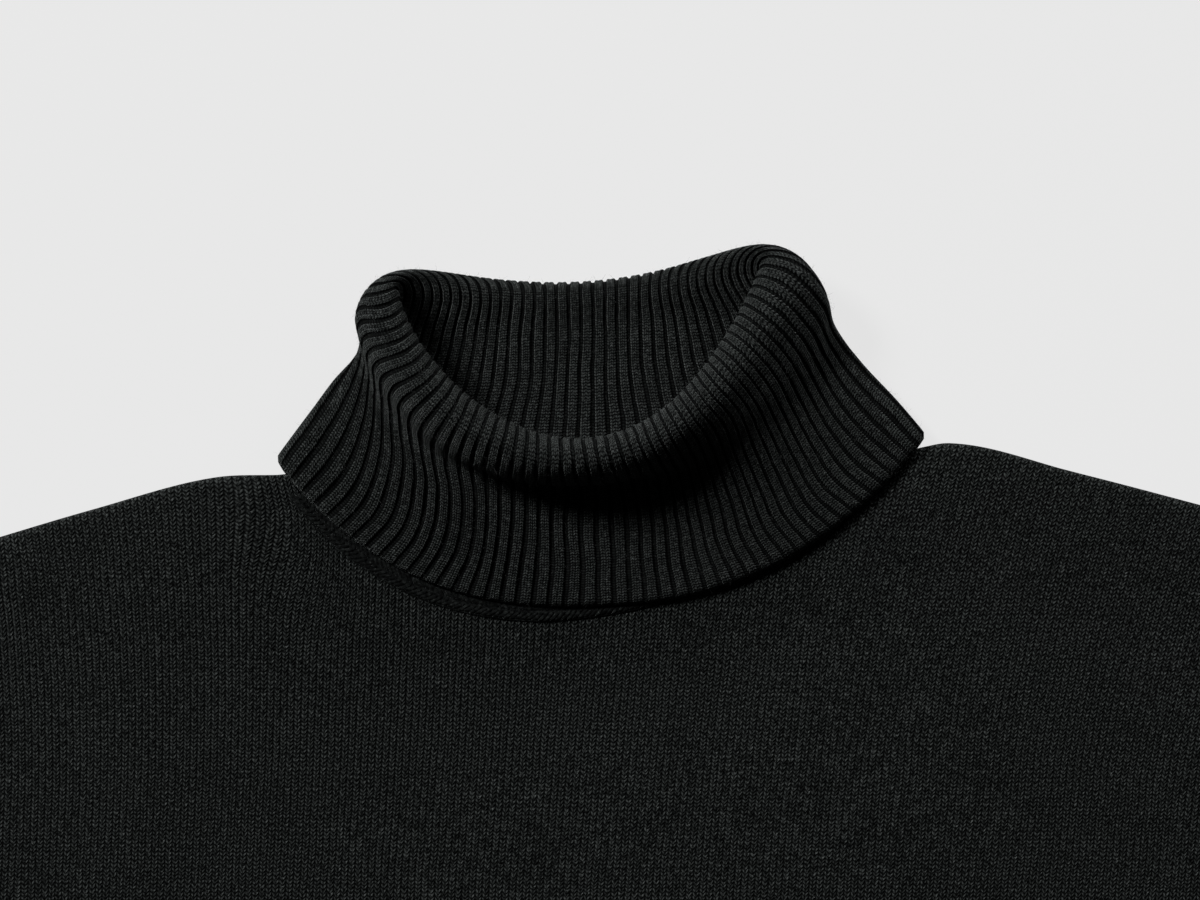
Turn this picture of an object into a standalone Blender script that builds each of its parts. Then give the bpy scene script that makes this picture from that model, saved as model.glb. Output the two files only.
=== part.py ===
"""A black wool turtleneck sweater, laid flat on its back with the ribbed collar folded over.

Lengths are in millimetres, and become metres where a mesh is made. +X is to the right of someone who
looks down on the front, +Y runs up the body towards the collar, and Z = 0 is the table. Sizes are
worked out from the neck point line, between the two points where collar and shoulders meet. The
origin is on the back panel's underside, on the chest line that joins the underarms.

Each cloth piece is a thin wall of its own. The pieces lie GAP apart at their seams.
"""

import math
from typing import NamedTuple

import bmesh
import bpy
import numpy as np

NAME = "turtleneck_sweater"

# Cloth
WALL = 1.8  # thickness of the knitted fabric
GAP = 0.3  # clearance between pieces, and between layers that lie on each other
PUFF = 2.7  # how far apart the springy fabric holds the two layers beside a folded edge
PUFF_NEAR, PUFF_FAR = 9.0, 55.0  # distances from the folded edge where the puff is full, and gone
FOLDED = 2 * WALL + GAP + PUFF  # height of a folded edge
EDGE_RADIUS = FOLDED / 2

# Body, measured from the neck point line
CHEST_DROP = 250.0  # neck point line to chest line
SHOULDER_HALF = 238.0  # centre line to armhole seam
CHEST_HALF = 275.0
UNDERARM_Y = -245.0
ARMHOLE_HOOK = 50.0  # the straight armhole seam hooks outwards over this height, down to the underarm
HEM_HALF = 245.0
HEM_SEAM_Y = -595.0
BACK_NECK_SAG = 10.5
FRONT_NECK_CLEAR = 0.9  # the front panel's short straight edges stay this far out from the collar's seam
SIDE_TURN_REACH = 14.0  # below the underarm, where the open armhole edge becomes a folded side

# Collar
RIBS = 88  # two wales and a furrow each, all round
FRONT_RIB, RIGHT_RIB, BACK_RIB = 22.5, 50.5, 69.25  # ribs from the left side, by way of the front
BACK_MIDDLE_X = -3.8
RIB_RISE = 0.85
FACING_DOWN, FACING_SIDE = -0.75, -0.2  # Z of the wall's normal where its ribs are flat, and full
SIDE_RISE = 5.2  # a flat ring's side fold reaches its full height over this length
ROLL_RISE_FRONT, ROLL_RISE_BACK = 75.0, 42.0  # and a ring on the open roll takes this much more
FLAT_BACK_POWER, ROLL_BACK_POWER = 2.0, 8.0  # how square the back half is, pressed flat and on the roll
DIP_POWER = 1.3
CREST_ROW = 5.0
FOLD_THINNING = 0.65  # the knit is stretched thinner over the crest
SIDE_REACH = 8  # half ribs beside a side fold where the plain face has every point

# Strip that links the collar to the front
STRIP_WIDE = 8.0
STRIP_THICK = 1.0
STRIP_EDGE_THICK = 0.45
STRIP_CROWN = 0.6  # share of the width that is full thickness
STRIP_START, STRIP_END = 0.035, 0.965  # shares of the front neckline
STRIP_POINTS = 49
SHOWN_REACH, HIDDEN_REACH = 1.0, -3.0  # its middle line out from the seam: at the left, and at the right
HIDING_START, HIDING_LENGTH = 0.4, 0.25  # where along the neckline it goes in under the collar
STRIP_LIFT = 2.9  # the collar's layers hold the front panel up by this much beside the neckline
LIFT_REACH = 17.0

# Sleeves and ribs
SLEEVE_TURN_LENGTH = 130.0  # the sleeve's top edge turns down over this length
SLEEVE_STRAIGHT = 410.0
SLEEVE_START_ANGLE, SLEEVE_END_ANGLE = 12.0, 54.0  # degrees below the horizontal
SLEEVE_END_WIDE = 105.0
SLEEVE_TURNS = 5
SLEEVE_STRAIGHT_ROWS = (0.3, 0.65, 1.0)
UNDER_ROWS = (0.0, 0.012, 0.06, 0.13, 0.21, 0.31, 0.53, 0.77, 1.0)  # shares of the underarm seam
STRAIGHTENING_ROWS = 4  # mesh rows over which the sleeve loses the armhole's curve
CUFF_WIDE = 86.0
CUFF_TALL = 68.0
HEM_TALL = 65.0
HEM_RIB_HALF = 232.0
RIB_PITCH = 4.8  # rib spacing on hem and cuffs
RIB_PULL_IN = 14.0  # length over which a rib draws the fabric in

BLACK_WOOL = (0.011, 0.0125, 0.012, 1.0)


class Ring(NamedTuple):
    """One ring round the collar's show face: its two side points, and how it runs between them.

    front and back are how far the ring reaches from the line between the side points, towards the
    hem and towards the fold. dip is a sag of the back's middle, and round is 0 for a ring that is
    pressed flat and 1 for a ring on the open roll. z_side, z_front and z_back are its heights.
    """

    name: str
    left_x: float
    left_y: float
    right_x: float
    right_y: float
    front: float
    back: float
    dip: float
    round: float
    z_side: float
    z_front: float
    z_back: float


COLLAR = (
    Ring("seam", -116.5, -8.5, 111.5, 1.5, 55.5, -13.0, 0.0, 0.0, 4.8, 5.1, 3.9),
    Ring("inner_low", -107.0, 6.3, 106.0, 14.5, 46.0, -5.0, 0.0, 0.0, 4.7, 5.2, 3.9),
    Ring("inner_middle", -95.5, 21.9, 93.0, 28.0, 39.0, 2.0, 0.0, 0.15, 4.8, 6.5, 3.9),
    Ring("under_roll", -82.0, 42.0, 73.0, 51.0, 46.0, 1.0, 0.0, 0.6, 9.0, 14.0, 4.6),
    Ring("roll_inside", -76.0, 60.0, 60.5, 69.0, 60.8, 5.0, 9.7, 1.0, 19.0, 27.0, 6.0),
    Ring("crest", -82.0, 57.0, 72.0, 68.0, 64.6, 13.5, 13.4, 1.0, 28.5, 40.0, 3.3),
    Ring("roll_outside", -89.5, 48.0, 83.5, 57.0, 66.0, 16.0, 8.5, 1.0, 23.0, 28.0, 0.5),
    Ring("tuck", -89.5, 39.0, 87.5, 46.0, 55.0, 3.0, 0.0, 0.2, 8.0, 12.0, 0.0),
    Ring("outer_middle", -100.0, 25.0, 98.5, 31.5, 56.0, 0.0, 0.0, 0.15, 5.2, 10.6, 0.0),
    Ring("outer_low", -111.5, 9.4, 111.0, 18.0, 58.0, -6.0, 0.0, 0.0, 5.2, 10.3, 0.0),
    Ring("free_edge", -121.5, -3.7, 122.2, 4.9, 58.9, -12.6, 0.0, 0.0, 5.2, 10.3, 0.0),
)


class Front(NamedTuple):
    """How the front half of a ring bends.

    A higher power makes it squarer, and a higher corner draws it in towards its side point. skew is
    how far its lowest point lies left of its middle. The lifts raise it between middle and sides.
    """

    ring: str
    power: float
    left_corner: float
    right_corner: float
    skew: float
    left_lift: float
    right_lift: float


FRONTS = (
    Front("seam", 2.4, 0.86, 0.86, -6.0, 0.0, 0.0),
    Front("inner_low", 2.4, 0.86, 0.86, -6.0, 0.0, 0.0),
    Front("inner_middle", 2.3, 0.8, 0.85, -5.0, 0.0, 0.0),
    Front("under_roll", 2.2, 0.75, 0.85, -3.0, 0.0, 0.0),
    Front("roll_inside", 2.0, 0.66, 0.89, -1.2, 0.0, 0.0),
    Front("crest", 2.4, 0.74, 1.25, -5.9, 0.0, 0.0),
    Front("roll_outside", 2.2, 0.74, 0.96, -7.0, 4.0, 4.0),
    Front("tuck", 2.4, 0.72, 0.6, -5.5, 4.0, 10.0),
    Front("outer_middle", 2.4, 0.8, 0.75, -4.0, 1.0, 6.0),
    Front("outer_low", 2.45, 0.88, 0.88, -4.0, 0.0, 2.5),
    Front("free_edge", 2.45, 0.91, 0.96, -4.1, 0.0, 0.0),
)


class RibSpread(NamedTuple):
    """Where the ribs lie along a ring.

    middle_x is where FRONT_RIB lies. The pitches are a rib's width there and at BACK_RIB, and the
    bulges are how much the front's ribs crowd towards the middle, from the left and the right.
    """

    ring: str
    middle_x: float
    front_pitch: float
    left_bulge: float
    right_bulge: float
    back_pitch: float


RIB_SPREADS = (
    RibSpread("seam", -3.8, 5.5, 0.0, 0.0, 5.9),
    RibSpread("inner_low", -4.5, 5.0, 0.0, 0.0, 5.5),
    RibSpread("inner_middle", -5.5, 4.7, 0.0, 0.0, 4.65),
    RibSpread("under_roll", -7.0, 4.4, 0.0, 0.1, 4.6),
    RibSpread("roll_inside", -8.3, 4.3, 0.1, 0.35, 4.6),
    RibSpread("crest", -7.5, 4.6, 0.15, 0.45, 4.6),
    RibSpread("roll_outside", -6.0, 5.2, 0.33, 0.47, 4.8),
    RibSpread("tuck", -4.5, 5.4, 0.28, 0.57, 5.0),
    RibSpread("outer_middle", -4.0, 5.8, 0.5, 0.53, 5.2),
    RibSpread("outer_low", -3.8, 6.0, 0.42, 0.4, 5.3),
    RibSpread("free_edge", -3.8, 6.15, 0.05, 0.05, 5.4),
)

# Where the mesh takes its rows, counted in rings from the seam
COLLAR_ROWS = (0, 1, 2, 2.5, 3, 3.6, 4.2, 4.7, 5.2, 5.7, 6.3, 7, 8, 9, 10)
# Points round the plain face, counted in half ribs from the left side
FROM_SIDE = [min(k, 2 * RIBS - k, abs(k - 2 * RIGHT_RIB)) for k in range(2 * RIBS)]
PLAIN_AROUND = [k for k in range(2 * RIBS) if k % 2 == 0 or FROM_SIDE[k] < SIDE_REACH]


class Shoulder(NamedTuple):
    """A shoulder edge, as three points from the collar out to the armhole."""

    neck_x: float
    neck_y: float
    bend_x: float
    bend_y: float
    middle_x: float
    middle_y: float
    tip_y: float


LEFT_SHOULDER = Shoulder(-119.5, -9.3, -144.0, -10.2, -190.0, -22.2, -36.5)
RIGHT_SHOULDER = Shoulder(118.5, 0.5, 131.0, 2.6, 178.0, -8.3, -24.0)
NECK_BLEND = 3.0  # the shoulder edge becomes the neckline over this width

# Mesh lines of the body panels
EDGE_INSETS = (0.0, 0.5, WALL, EDGE_RADIUS, 8.0, 20.0, 35.0, ARMHOLE_HOOK)  # beside a fold
UPPER_DEPTHS = (70.0, 100.0)  # below the shoulders
LOWER_LEVELS = (-340.0, -460.0)
NECK_COLUMNS = (-109.0, -98.0, -82.0, -62.0, -42.0, -21.0, 0.0, 21.0, 42.0, 62.0, 82.0, 97.0, 107.0)


# ---------------------------------------------------------------------------------- curves


def smoothstep(x):
    x = np.clip(x, 0.0, 1.0)
    return x * x * (3 - 2 * x)


def quarter_round(x):
    """Rises from 0 to 1 as a quarter circle does."""
    x = np.clip(x, 0.0, 1.0)
    return np.sqrt(1 - (1 - x) ** 2)


def smooth_through(knots, at):
    """Curves through rows of points, with no corner at any of them.

    at counts rows from the first: 2.5 is halfway from the third to the fourth.
    """
    steps = np.diff(knots, axis=0)
    lengths = np.linalg.norm(steps, axis=-1, keepdims=True)
    ways = steps / lengths
    inner = ways[:-1] + ways[1:]
    inner = inner / np.linalg.norm(inner, axis=-1, keepdims=True)
    slopes = np.concatenate([ways[:1], inner, ways[-1:]])
    turning = np.sum(slopes[:-1] * slopes[1:], axis=-1, keepdims=True)
    lengths = lengths * 2 / (1 + np.sqrt((1 + turning) / 2))  # as a circle's arc has it
    at = np.clip(np.asarray(at, float), 0, len(knots) - 1)
    k = np.minimum(at.astype(int), len(knots) - 2)
    x = (at - k).reshape(at.shape + (1,) * (knots.ndim - 1))
    rest = 1 - x
    return (
        knots[k] * (1 + 2 * x) * rest**2
        + knots[k + 1] * (3 - 2 * x) * x**2
        + lengths[k] * x * rest * (slopes[k] * rest - slopes[k + 1] * x)
    )


def run_along(line):
    """Length along a dense line, at each of its points."""
    return np.concatenate([[0.0], np.cumsum(np.linalg.norm(np.diff(line, axis=0), axis=1))])


def evenly_along(points, shares):
    """The points at these shares, 0 to 1, of a dense line's length."""
    run = run_along(points)
    return np.stack([np.interp(shares * run[-1], run, axis) for axis in points.T], axis=1)


# ---------------------------------------------------------------------------------- collar


def half_ring(row, front):
    """A dense line along a ring's front or back half, from its left side point to its right one."""
    ring, bend = COLLAR[row], FRONTS[row]
    t = np.sin(np.linspace(-math.pi / 2, math.pi / 2, 401))
    across_x, across_y = ring.right_x - ring.left_x, ring.right_y - ring.left_y
    half = math.hypot(across_x, across_y) / 2
    cos, sin = across_x / half / 2, across_y / half / 2
    lift = 0.0
    if front:
        corner = bend.left_corner + (bend.right_corner - bend.left_corner) * (t + 1) / 2
        along = half * t + bend.skew * (1 - t**2)
        reach = -ring.front * (1 - np.abs(t) ** bend.power) ** corner
        z_far, turn = ring.z_front, SIDE_RISE + ROLL_RISE_FRONT * ring.round
        highest = (2 / 3) ** 2 / 3  # of the curve below, which is 0 at the middle and at the sides
        lift = np.where(t < 0, bend.left_lift, bend.right_lift) * t**2 * (1 - np.abs(t)) / highest
    else:
        along = half * t
        power = FLAT_BACK_POWER + (ROLL_BACK_POWER - FLAT_BACK_POWER) * ring.round
        reach = ring.back * (1 - np.abs(t) ** power) ** (1 - ring.round / 2)
        reach -= ring.dip * (1 - t**2) ** DIP_POWER
        z_far, turn = ring.z_back, SIDE_RISE + ROLL_RISE_BACK * ring.round
    x = (ring.left_x + ring.right_x) / 2 + along * cos - reach * sin
    y = (ring.left_y + ring.right_y) / 2 + along * sin + reach * cos
    run = run_along(np.stack([x, y], axis=1))
    from_side = np.minimum(run, run[-1] - run)
    rise = np.sin(np.clip(from_side / turn, 0, 1) * math.pi / 2) ** ((1 + ring.round) / 2)
    return np.stack([x, y, ring.z_side + (z_far - ring.z_side) * rise + lift], axis=1)


def spread_ribs(line, ribs, ends, middle_x, pitch, bulges):
    """Points along half a ring, by ribs from its middle.

    ribs are negative to the left. ends are the ribs from the middle to the left end and to the right
    one, and bulges how much the ribs crowd towards the middle on either side. pitch is their width
    there.
    """
    run = run_along(line)
    middle = np.interp(middle_x, line[:, 0], run)
    at = np.full(len(ribs), middle)
    for sign, end, length, bulge in zip((-1, 1), ends, (middle, run[-1] - middle), bulges):
        share = np.clip(sign * ribs / end, 0, 1)
        wider = pitch * end / length - 1
        at += sign * length * (share + share * (1 - share) * (wider - bulge * share))
    return np.stack([np.interp(at, run, axis) for axis in line.T], axis=1)


def ring_points(row, around):
    """Points of a ring at these shares of its ribs: 0 is the left side, and the front comes first."""
    spread = RIB_SPREADS[row]
    rib = np.asarray(around) * RIBS % RIBS
    ends = (FRONT_RIB, RIGHT_RIB - FRONT_RIB)
    bulges = (spread.left_bulge, spread.right_bulge)
    line = half_ring(row, True)
    front = spread_ribs(line, rib - FRONT_RIB, ends, spread.middle_x, spread.front_pitch, bulges)
    ends = (RIBS - BACK_RIB, BACK_RIB - RIGHT_RIB)
    line = half_ring(row, False)
    back = spread_ribs(line, BACK_RIB - rib, ends, BACK_MIDDLE_X, spread.back_pitch, (0.0, 0.0))
    return np.where((rib < RIGHT_RIB)[:, None], front, back)


def collar_face(rows, around):
    """The collar's show face and its outward normals, each as rows by points round by XYZ."""
    guides = np.stack([ring_points(row, around) for row in range(len(COLLAR))])
    rows = np.asarray(rows, float)
    step = 0.05
    points = smooth_through(guides, rows)
    points[..., 2] = np.maximum(points[..., 2], 0.0)
    down = smooth_through(guides, rows + step) - smooth_through(guides, rows - step)
    ahead = np.roll(points, -1, axis=1) - points
    ahead /= np.linalg.norm(ahead, axis=2, keepdims=True)
    normals = np.cross(down, ahead + np.roll(ahead, 1, axis=1))
    return points, normals / np.linalg.norm(normals, axis=2, keepdims=True)


def make_collar():
    """The folded collar: ribs on the show face, a plain face between its two layers."""
    around = np.arange(2 * RIBS) / (2 * RIBS)
    points, normals = collar_face(COLLAR_ROWS, around)
    on_rib = np.array([k % 2 * (FROM_SIDE[k] > 0) for k in range(2 * RIBS)])[:, None]
    shown = smoothstep((normals[..., 2:] - FACING_DOWN) / (FACING_SIDE - FACING_DOWN))
    show = points + normals * RIB_RISE * on_rib * shown
    from_crest = np.array(COLLAR_ROWS) - CREST_ROW
    wall = WALL - FOLD_THINNING * np.exp(-(from_crest**2))
    plain = (points - normals * wall[:, None, None])[:, PLAIN_AROUND]
    return tube_wall("collar", show, plain)


# ---------------------------------------------------------------------------------- plan of the body


def front_neckline(outward):
    """The seam's front half in plan, moved this far out from the neck."""
    line = half_ring(0, True)[:, :2]
    way = np.gradient(line, axis=0)
    out = np.stack([way[:, 1], -way[:, 0]], axis=1)
    return line + outward * out / np.linalg.norm(out, axis=1, keepdims=True)


def back_neckline_y(x):
    """The back neckline, a shallow curve between the neck points."""
    left, right = LEFT_SHOULDER, RIGHT_SHOULDER
    share = np.clip((x - left.neck_x) / (right.neck_x - left.neck_x), 0, 1)
    return left.neck_y + (right.neck_y - left.neck_y) * share - BACK_NECK_SAG * 4 * share * (1 - share)


def shoulder_y(x):
    """Height of the shoulder edge at x, outside the collar."""
    lines = []
    for shoulder, tip_x in ((LEFT_SHOULDER, -SHOULDER_HALF), (RIGHT_SHOULDER, SHOULDER_HALF)):
        knots = np.array([shoulder[0:2], shoulder[2:4], shoulder[4:6], (tip_x, shoulder.tip_y)])
        lines.append(smooth_through(knots, np.linspace(0, 3, 61)))
    line = np.concatenate([lines[0][::-1], lines[1]])
    return np.interp(x, line[:, 0], line[:, 1])


def top_y(x, front):
    """The upper edge of the front or back panel: shoulder, neckline, shoulder."""
    left, right = LEFT_SHOULDER.neck_x, RIGHT_SHOULDER.neck_x
    if front:
        line = front_neckline(FRONT_NECK_CLEAR)
        neck = np.interp(x, line[:, 0], line[:, 1])
    else:
        neck = back_neckline_y(x)
    beside = np.maximum(left - x, x - right)  # beyond the neck points
    return neck + (shoulder_y(x) - neck) * smoothstep(beside / NECK_BLEND + 1.0)


def side_half(y):
    """Half the body's width at y: armhole, then side seam."""
    hook = (1 - np.clip((y - UNDERARM_Y) / ARMHOLE_HOOK, 0, 1)) ** 1.2
    down = np.clip((UNDERARM_Y - y) / (UNDERARM_Y - HEM_SEAM_Y), 0, 1)
    return SHOULDER_HALF + (CHEST_HALF - SHOULDER_HALF) * hook - (CHEST_HALF - HEM_HALF) * down


# ---------------------------------------------------------------------------------- heights of flat cloth


def puffed(inset):
    """Underside of the upper layer at this distance from a folded edge."""
    fade = 1 - smoothstep((inset - PUFF_NEAR) / (PUFF_FAR - PUFF_NEAR))
    return WALL + GAP + PUFF * fade


def layer_heights(inset, turned, upper, puff_inset=None, lift=0.0):
    """Outer and inner face heights of a cloth layer, at this distance from its folded edge.

    turned is 1 where the edge is folded round to meet the other layer and 0 where it is open.
    puff_inset is the distance from the nearest folded edge, where that isn't the same one.
    """
    puff_inset = inset if puff_inset is None else puff_inset
    bend = quarter_round(inset / EDGE_RADIUS)
    inner_bend = quarter_round((inset - WALL) / (EDGE_RADIUS - WALL))
    if upper:
        meet = EDGE_RADIUS + GAP / 2
        under = np.maximum(puffed(puff_inset), WALL + GAP + lift)
        outer, inner = under + WALL, under
        folded_outer = meet + GAP + (outer - meet - GAP) * bend
        folded_inner = meet + (inner - meet) * inner_bend
    else:
        meet = EDGE_RADIUS - GAP / 2
        outer, inner = np.zeros_like(inset), np.full_like(inset, WALL)
        folded_outer = (meet - GAP) * (1 - bend)
        folded_inner = meet + (inner - meet) * inner_bend
    return outer + (folded_outer - outer) * turned, inner + (folded_inner - inner) * turned


# ---------------------------------------------------------------------------------- meshes


def material_of(name):
    """Black wool for one piece."""
    material = bpy.data.materials.new(name + "_wool")
    material.use_nodes = True
    shader = material.node_tree.nodes["Principled BSDF"]
    shader.inputs["Base Color"].default_value = BLACK_WOOL
    shader.inputs["Roughness"].default_value = 0.93
    shader.inputs["Metallic"].default_value = 0.0
    return material


def finish(name, mesh_maker):
    """Makes the object of one cloth piece, faces outwards and smooth, in the part's frame."""
    mesh_maker.normal_update()
    bmesh.ops.recalc_face_normals(mesh_maker, faces=mesh_maker.faces)
    mesh = bpy.data.meshes.new(name)
    mesh_maker.to_mesh(mesh)
    mesh_maker.free()
    mesh.shade_smooth()
    mesh.set_sharp_from_angle(angle=math.radians(50))
    mesh.materials.append(material_of(name))
    piece = bpy.data.objects.new(name, mesh)
    bpy.data.collections[NAME].objects.link(piece)
    return piece


def add_points(mesh_maker, points):
    """Vertices for rows of points, in the part's frame and in metres."""
    moved = (points + np.array([0.0, CHEST_DROP, 0.0])) / 1000
    return [[mesh_maker.verts.new(p) for p in row] for row in moved.tolist()]


def bridge(mesh_maker, first, second):
    """Joins two closed loops that start side by side, always by the shorter of the two next edges."""
    first, second = first + first[:1], second + second[:1]
    i = j = 0
    while i + 1 < len(first) or j + 1 < len(second):
        on_first = j + 1 == len(second)
        if not on_first and i + 1 < len(first):
            on_first = (first[i + 1].co - second[j].co).length < (first[i].co - second[j + 1].co).length
        if on_first:
            mesh_maker.faces.new((first[i], first[i + 1], second[j]))
            i += 1
        else:
            mesh_maker.faces.new((first[i], second[j + 1], second[j]))
            j += 1


def skin(mesh_maker, rows, closed):
    """Quads between rows of vertices, which are closed loops or open lines."""
    count = len(rows[0])
    for upper, lower in zip(rows, rows[1:]):
        for k in range(count if closed else count - 1):
            following = (k + 1) % count
            mesh_maker.faces.new((upper[k], upper[following], lower[following], lower[k]))


def tube_wall(name, outer, inner):
    """A tube of cloth, open at both ends, from loops of its outer face and of its inner face."""
    mesh_maker = bmesh.new()
    outer_rows, inner_rows = add_points(mesh_maker, outer), add_points(mesh_maker, inner)
    skin(mesh_maker, outer_rows, True)
    skin(mesh_maker, inner_rows, True)
    for end in (0, -1):
        bridge(mesh_maker, outer_rows[end], inner_rows[end])
    return finish(name, mesh_maker)


def sheet_wall(name, outer, inner):
    """A sheet of cloth, from a grid of points on its outer face and the same grid on its inner face."""
    mesh_maker = bmesh.new()
    outer_rows, inner_rows = add_points(mesh_maker, outer), add_points(mesh_maker, inner)
    skin(mesh_maker, outer_rows, False)
    skin(mesh_maker, inner_rows, False)

    def rim(rows):
        return rows[0] + [row[-1] for row in rows[1:-1]] + rows[-1][::-1] + [row[0] for row in rows[-2:0:-1]]

    skin(mesh_maker, (rim(outer_rows), rim(inner_rows)), True)
    return finish(name, mesh_maker)


# ---------------------------------------------------------------------------------- pieces


def panel_grid(front):
    """Plan positions of a body panel's mesh, as rows by columns of X and Y."""
    left, right = LEFT_SHOULDER.neck_x, RIGHT_SHOULDER.neck_x
    inside = [left + NECK_BLEND, *NECK_COLUMNS, right - NECK_BLEND]
    insets = np.array(EDGE_INSETS)
    depths = np.concatenate([insets, UPPER_DEPTHS])
    levels = [UNDERARM_Y + inset for inset in reversed(EDGE_INSETS)]
    levels += [UNDERARM_Y - SIDE_TURN_REACH / 2, UNDERARM_Y - SIDE_TURN_REACH, *LOWER_LEVELS, HEM_SEAM_Y]
    rows = []
    for row in range(len(depths) + len(levels)):
        if row < len(depths):
            side_y = np.array([shoulder_y(np.float64(s * SHOULDER_HALF)) - depths[row] for s in (-1, 1)])
        else:
            level = levels[row - len(depths)]
            side_y = np.array([level, level])
        half = side_half(side_y)
        left_x = np.concatenate([-half[0] + insets, [(-half[0] + insets[-1] + left) / 2, left]])
        right_x = np.concatenate([[right, (half[1] - insets[-1] + right) / 2], half[1] - insets[::-1]])
        x = np.concatenate([left_x, inside, right_x])
        y = top_y(x, front) - depths[row] if row < len(depths) else np.full_like(x, level)
        rows.append(np.stack([x, y], axis=1))
    return np.stack(rows)


def panel_heights(plan, front):
    """Outer and inner face heights over a body panel's plan."""
    x, y = plan[..., 0], plan[..., 1]
    from_top = top_y(x, front) - y
    from_side = side_half(y) - np.abs(x)
    beside_neck = np.maximum(LEFT_SHOULDER.neck_x - x, x - RIGHT_SHOULDER.neck_x)
    on_shoulder = smoothstep(beside_neck / NECK_BLEND + 1.0)
    below_arm = smoothstep((UNDERARM_Y - y) / SIDE_TURN_REACH)
    near_top = from_top < PUFF_FAR
    inset = np.where(near_top, from_top, from_side)
    turned = np.where(near_top, on_shoulder, below_arm)
    beyond_shoulder = np.maximum(0.0, -beside_neck)
    above_arm = np.maximum(0.0, y - UNDERARM_Y)
    puff_inset = np.minimum(np.hypot(from_top, beyond_shoulder), np.hypot(from_side, above_arm))
    neck = front_neckline(GAP)
    from_neck = np.min(np.hypot(x[..., None] - neck[::8, 0], y[..., None] - neck[::8, 1]), axis=-1)
    lift = STRIP_LIFT * np.exp(-((from_neck / LIFT_REACH) ** 2))
    return layer_heights(inset, turned, front, puff_inset, lift)


def make_panel(name, front):
    """The front or the back of the body."""
    plan = panel_grid(front)
    outer_z, inner_z = panel_heights(plan, front)
    return sheet_wall(name, np.dstack([plan, outer_z]), np.dstack([plan, inner_z]))


def strip_line(outward):
    """A line along the strip, this far out from its middle line."""
    shares = np.linspace(STRIP_START, STRIP_END, STRIP_POINTS)
    shown = evenly_along(front_neckline(SHOWN_REACH + outward), shares)
    hidden = evenly_along(front_neckline(HIDDEN_REACH + outward), shares)
    return shown + (hidden - shown) * smoothstep((shares - HIDING_START) / HIDING_LENGTH)[:, None]


def make_strip():
    """The narrow strip that links collar and front, along the neckline."""
    sides = np.array([-1.0, -STRIP_CROWN, STRIP_CROWN, 1.0])
    plan = np.stack([strip_line(side * STRIP_WIDE / 2) for side in sides])
    under = WALL + GAP + STRIP_LIFT + WALL + GAP
    thick = np.where(np.abs(sides) < 1, STRIP_THICK, STRIP_EDGE_THICK)
    bottom = np.full(plan.shape[:2], under)
    return sheet_wall("neck_strip", np.dstack([plan, bottom + thick[:, None]]), np.dstack([plan, bottom]))


def flat_loop(width, top_across, low_across, face, raised=0.0):
    """One face of a flattened tube, as a loop of (across, Z): over the top, and back underneath.

    face is 0 for the outer face and 1 for the inner one.
    """
    low_across = low_across[::-1]
    top = layer_heights(np.minimum(top_across, width - top_across), 1.0, True)[face] + raised
    low = layer_heights(np.minimum(low_across, width - low_across), 1.0, False)[face]
    return np.stack([np.concatenate([top_across, low_across]), np.concatenate([top, low])], axis=1)


def flat_tube(name, starts, ends, ribs=0, first_row=None):
    """A flattened tube of cloth, between folded edges that run through these rows of plan points.

    first_row gives the plan of the first row from the distance across it and its width, where that
    isn't straight. The next rows straighten out.
    """
    outer_rows, inner_rows = [], []
    bends = {}
    narrowest = min(math.dist(start, end) for start, end in zip(starts, ends))
    beside = np.array([inset for inset in EDGE_INSETS if inset < narrowest / 2])
    for row, (start, end) in enumerate(zip(starts, ends)):
        width = math.dist(start, end)
        plain = np.concatenate([beside, [width / 2], width - beside[::-1]])
        inner = plain[(plain >= WALL) & (plain <= width - WALL)]
        top, inner_top, raised = plain, inner, 0.0
        if ribs:
            furrows = np.linspace(0.5, width - 0.5, 2 * ribs + 1)
            top = np.concatenate([[0.0], furrows, [width]])
            raised = np.concatenate([[0.0], RIB_RISE * (np.arange(2 * ribs + 1) % 2), [0.0]])
            inner_top = np.concatenate([inner[:2], furrows[4:-4:4], inner[-2:]])
        outer_loop = flat_loop(width, top, plain[1:-1], 0, raised)
        inner_loop = flat_loop(width, inner_top, inner[1:-1], 1)
        for face, (rows, loop) in enumerate(((outer_rows, outer_loop), (inner_rows, inner_loop))):
            plan = start + (end - start) * (loop[:, 0] / width)[:, None]
            if first_row is not None and row == 0:
                bends[face] = first_row(loop[:, 0], width) - plan
            plan = plan + bends.get(face, 0.0) * max(0.0, 1 - row / STRAIGHTENING_ROWS) ** 3
            rows.append(np.column_stack([plan, loop[:, 1]]))
    return tube_wall(name, np.stack(outer_rows), np.stack(inner_rows))


def sleeve_edges(side):
    """Top and under edges of one sleeve, as rows of plan points from armhole to cuff seam."""
    tip_y = LEFT_SHOULDER.tip_y if side < 0 else RIGHT_SHOULDER.tip_y
    start, end = math.radians(SLEEVE_START_ANGLE), math.radians(SLEEVE_END_ANGLE)
    way = np.array([math.cos(end), -math.sin(end)])
    top = [np.array([SHOULDER_HALF + GAP, tip_y])]
    step = SLEEVE_TURN_LENGTH / SLEEVE_TURNS
    for k in range(SLEEVE_TURNS):
        angle = start + (end - start) * (k + 0.5) / SLEEVE_TURNS
        top.append(top[-1] + step * np.array([math.cos(angle), -math.sin(angle)]))
    turned = top[-1]
    top = np.array(top + [turned + way * share * SLEEVE_STRAIGHT for share in SLEEVE_STRAIGHT_ROWS])
    across = np.array([-way[1], way[0]]) * -1
    under_start = np.array([CHEST_HALF + GAP, UNDERARM_Y])
    under_end = top[-1] + SLEEVE_END_WIDE * across
    under = under_start + (under_end - under_start) * np.array(UNDER_ROWS)[:, None]
    mirror = np.array([side, 1.0])
    return top * mirror, under * mirror, way * mirror, across * mirror


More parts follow.
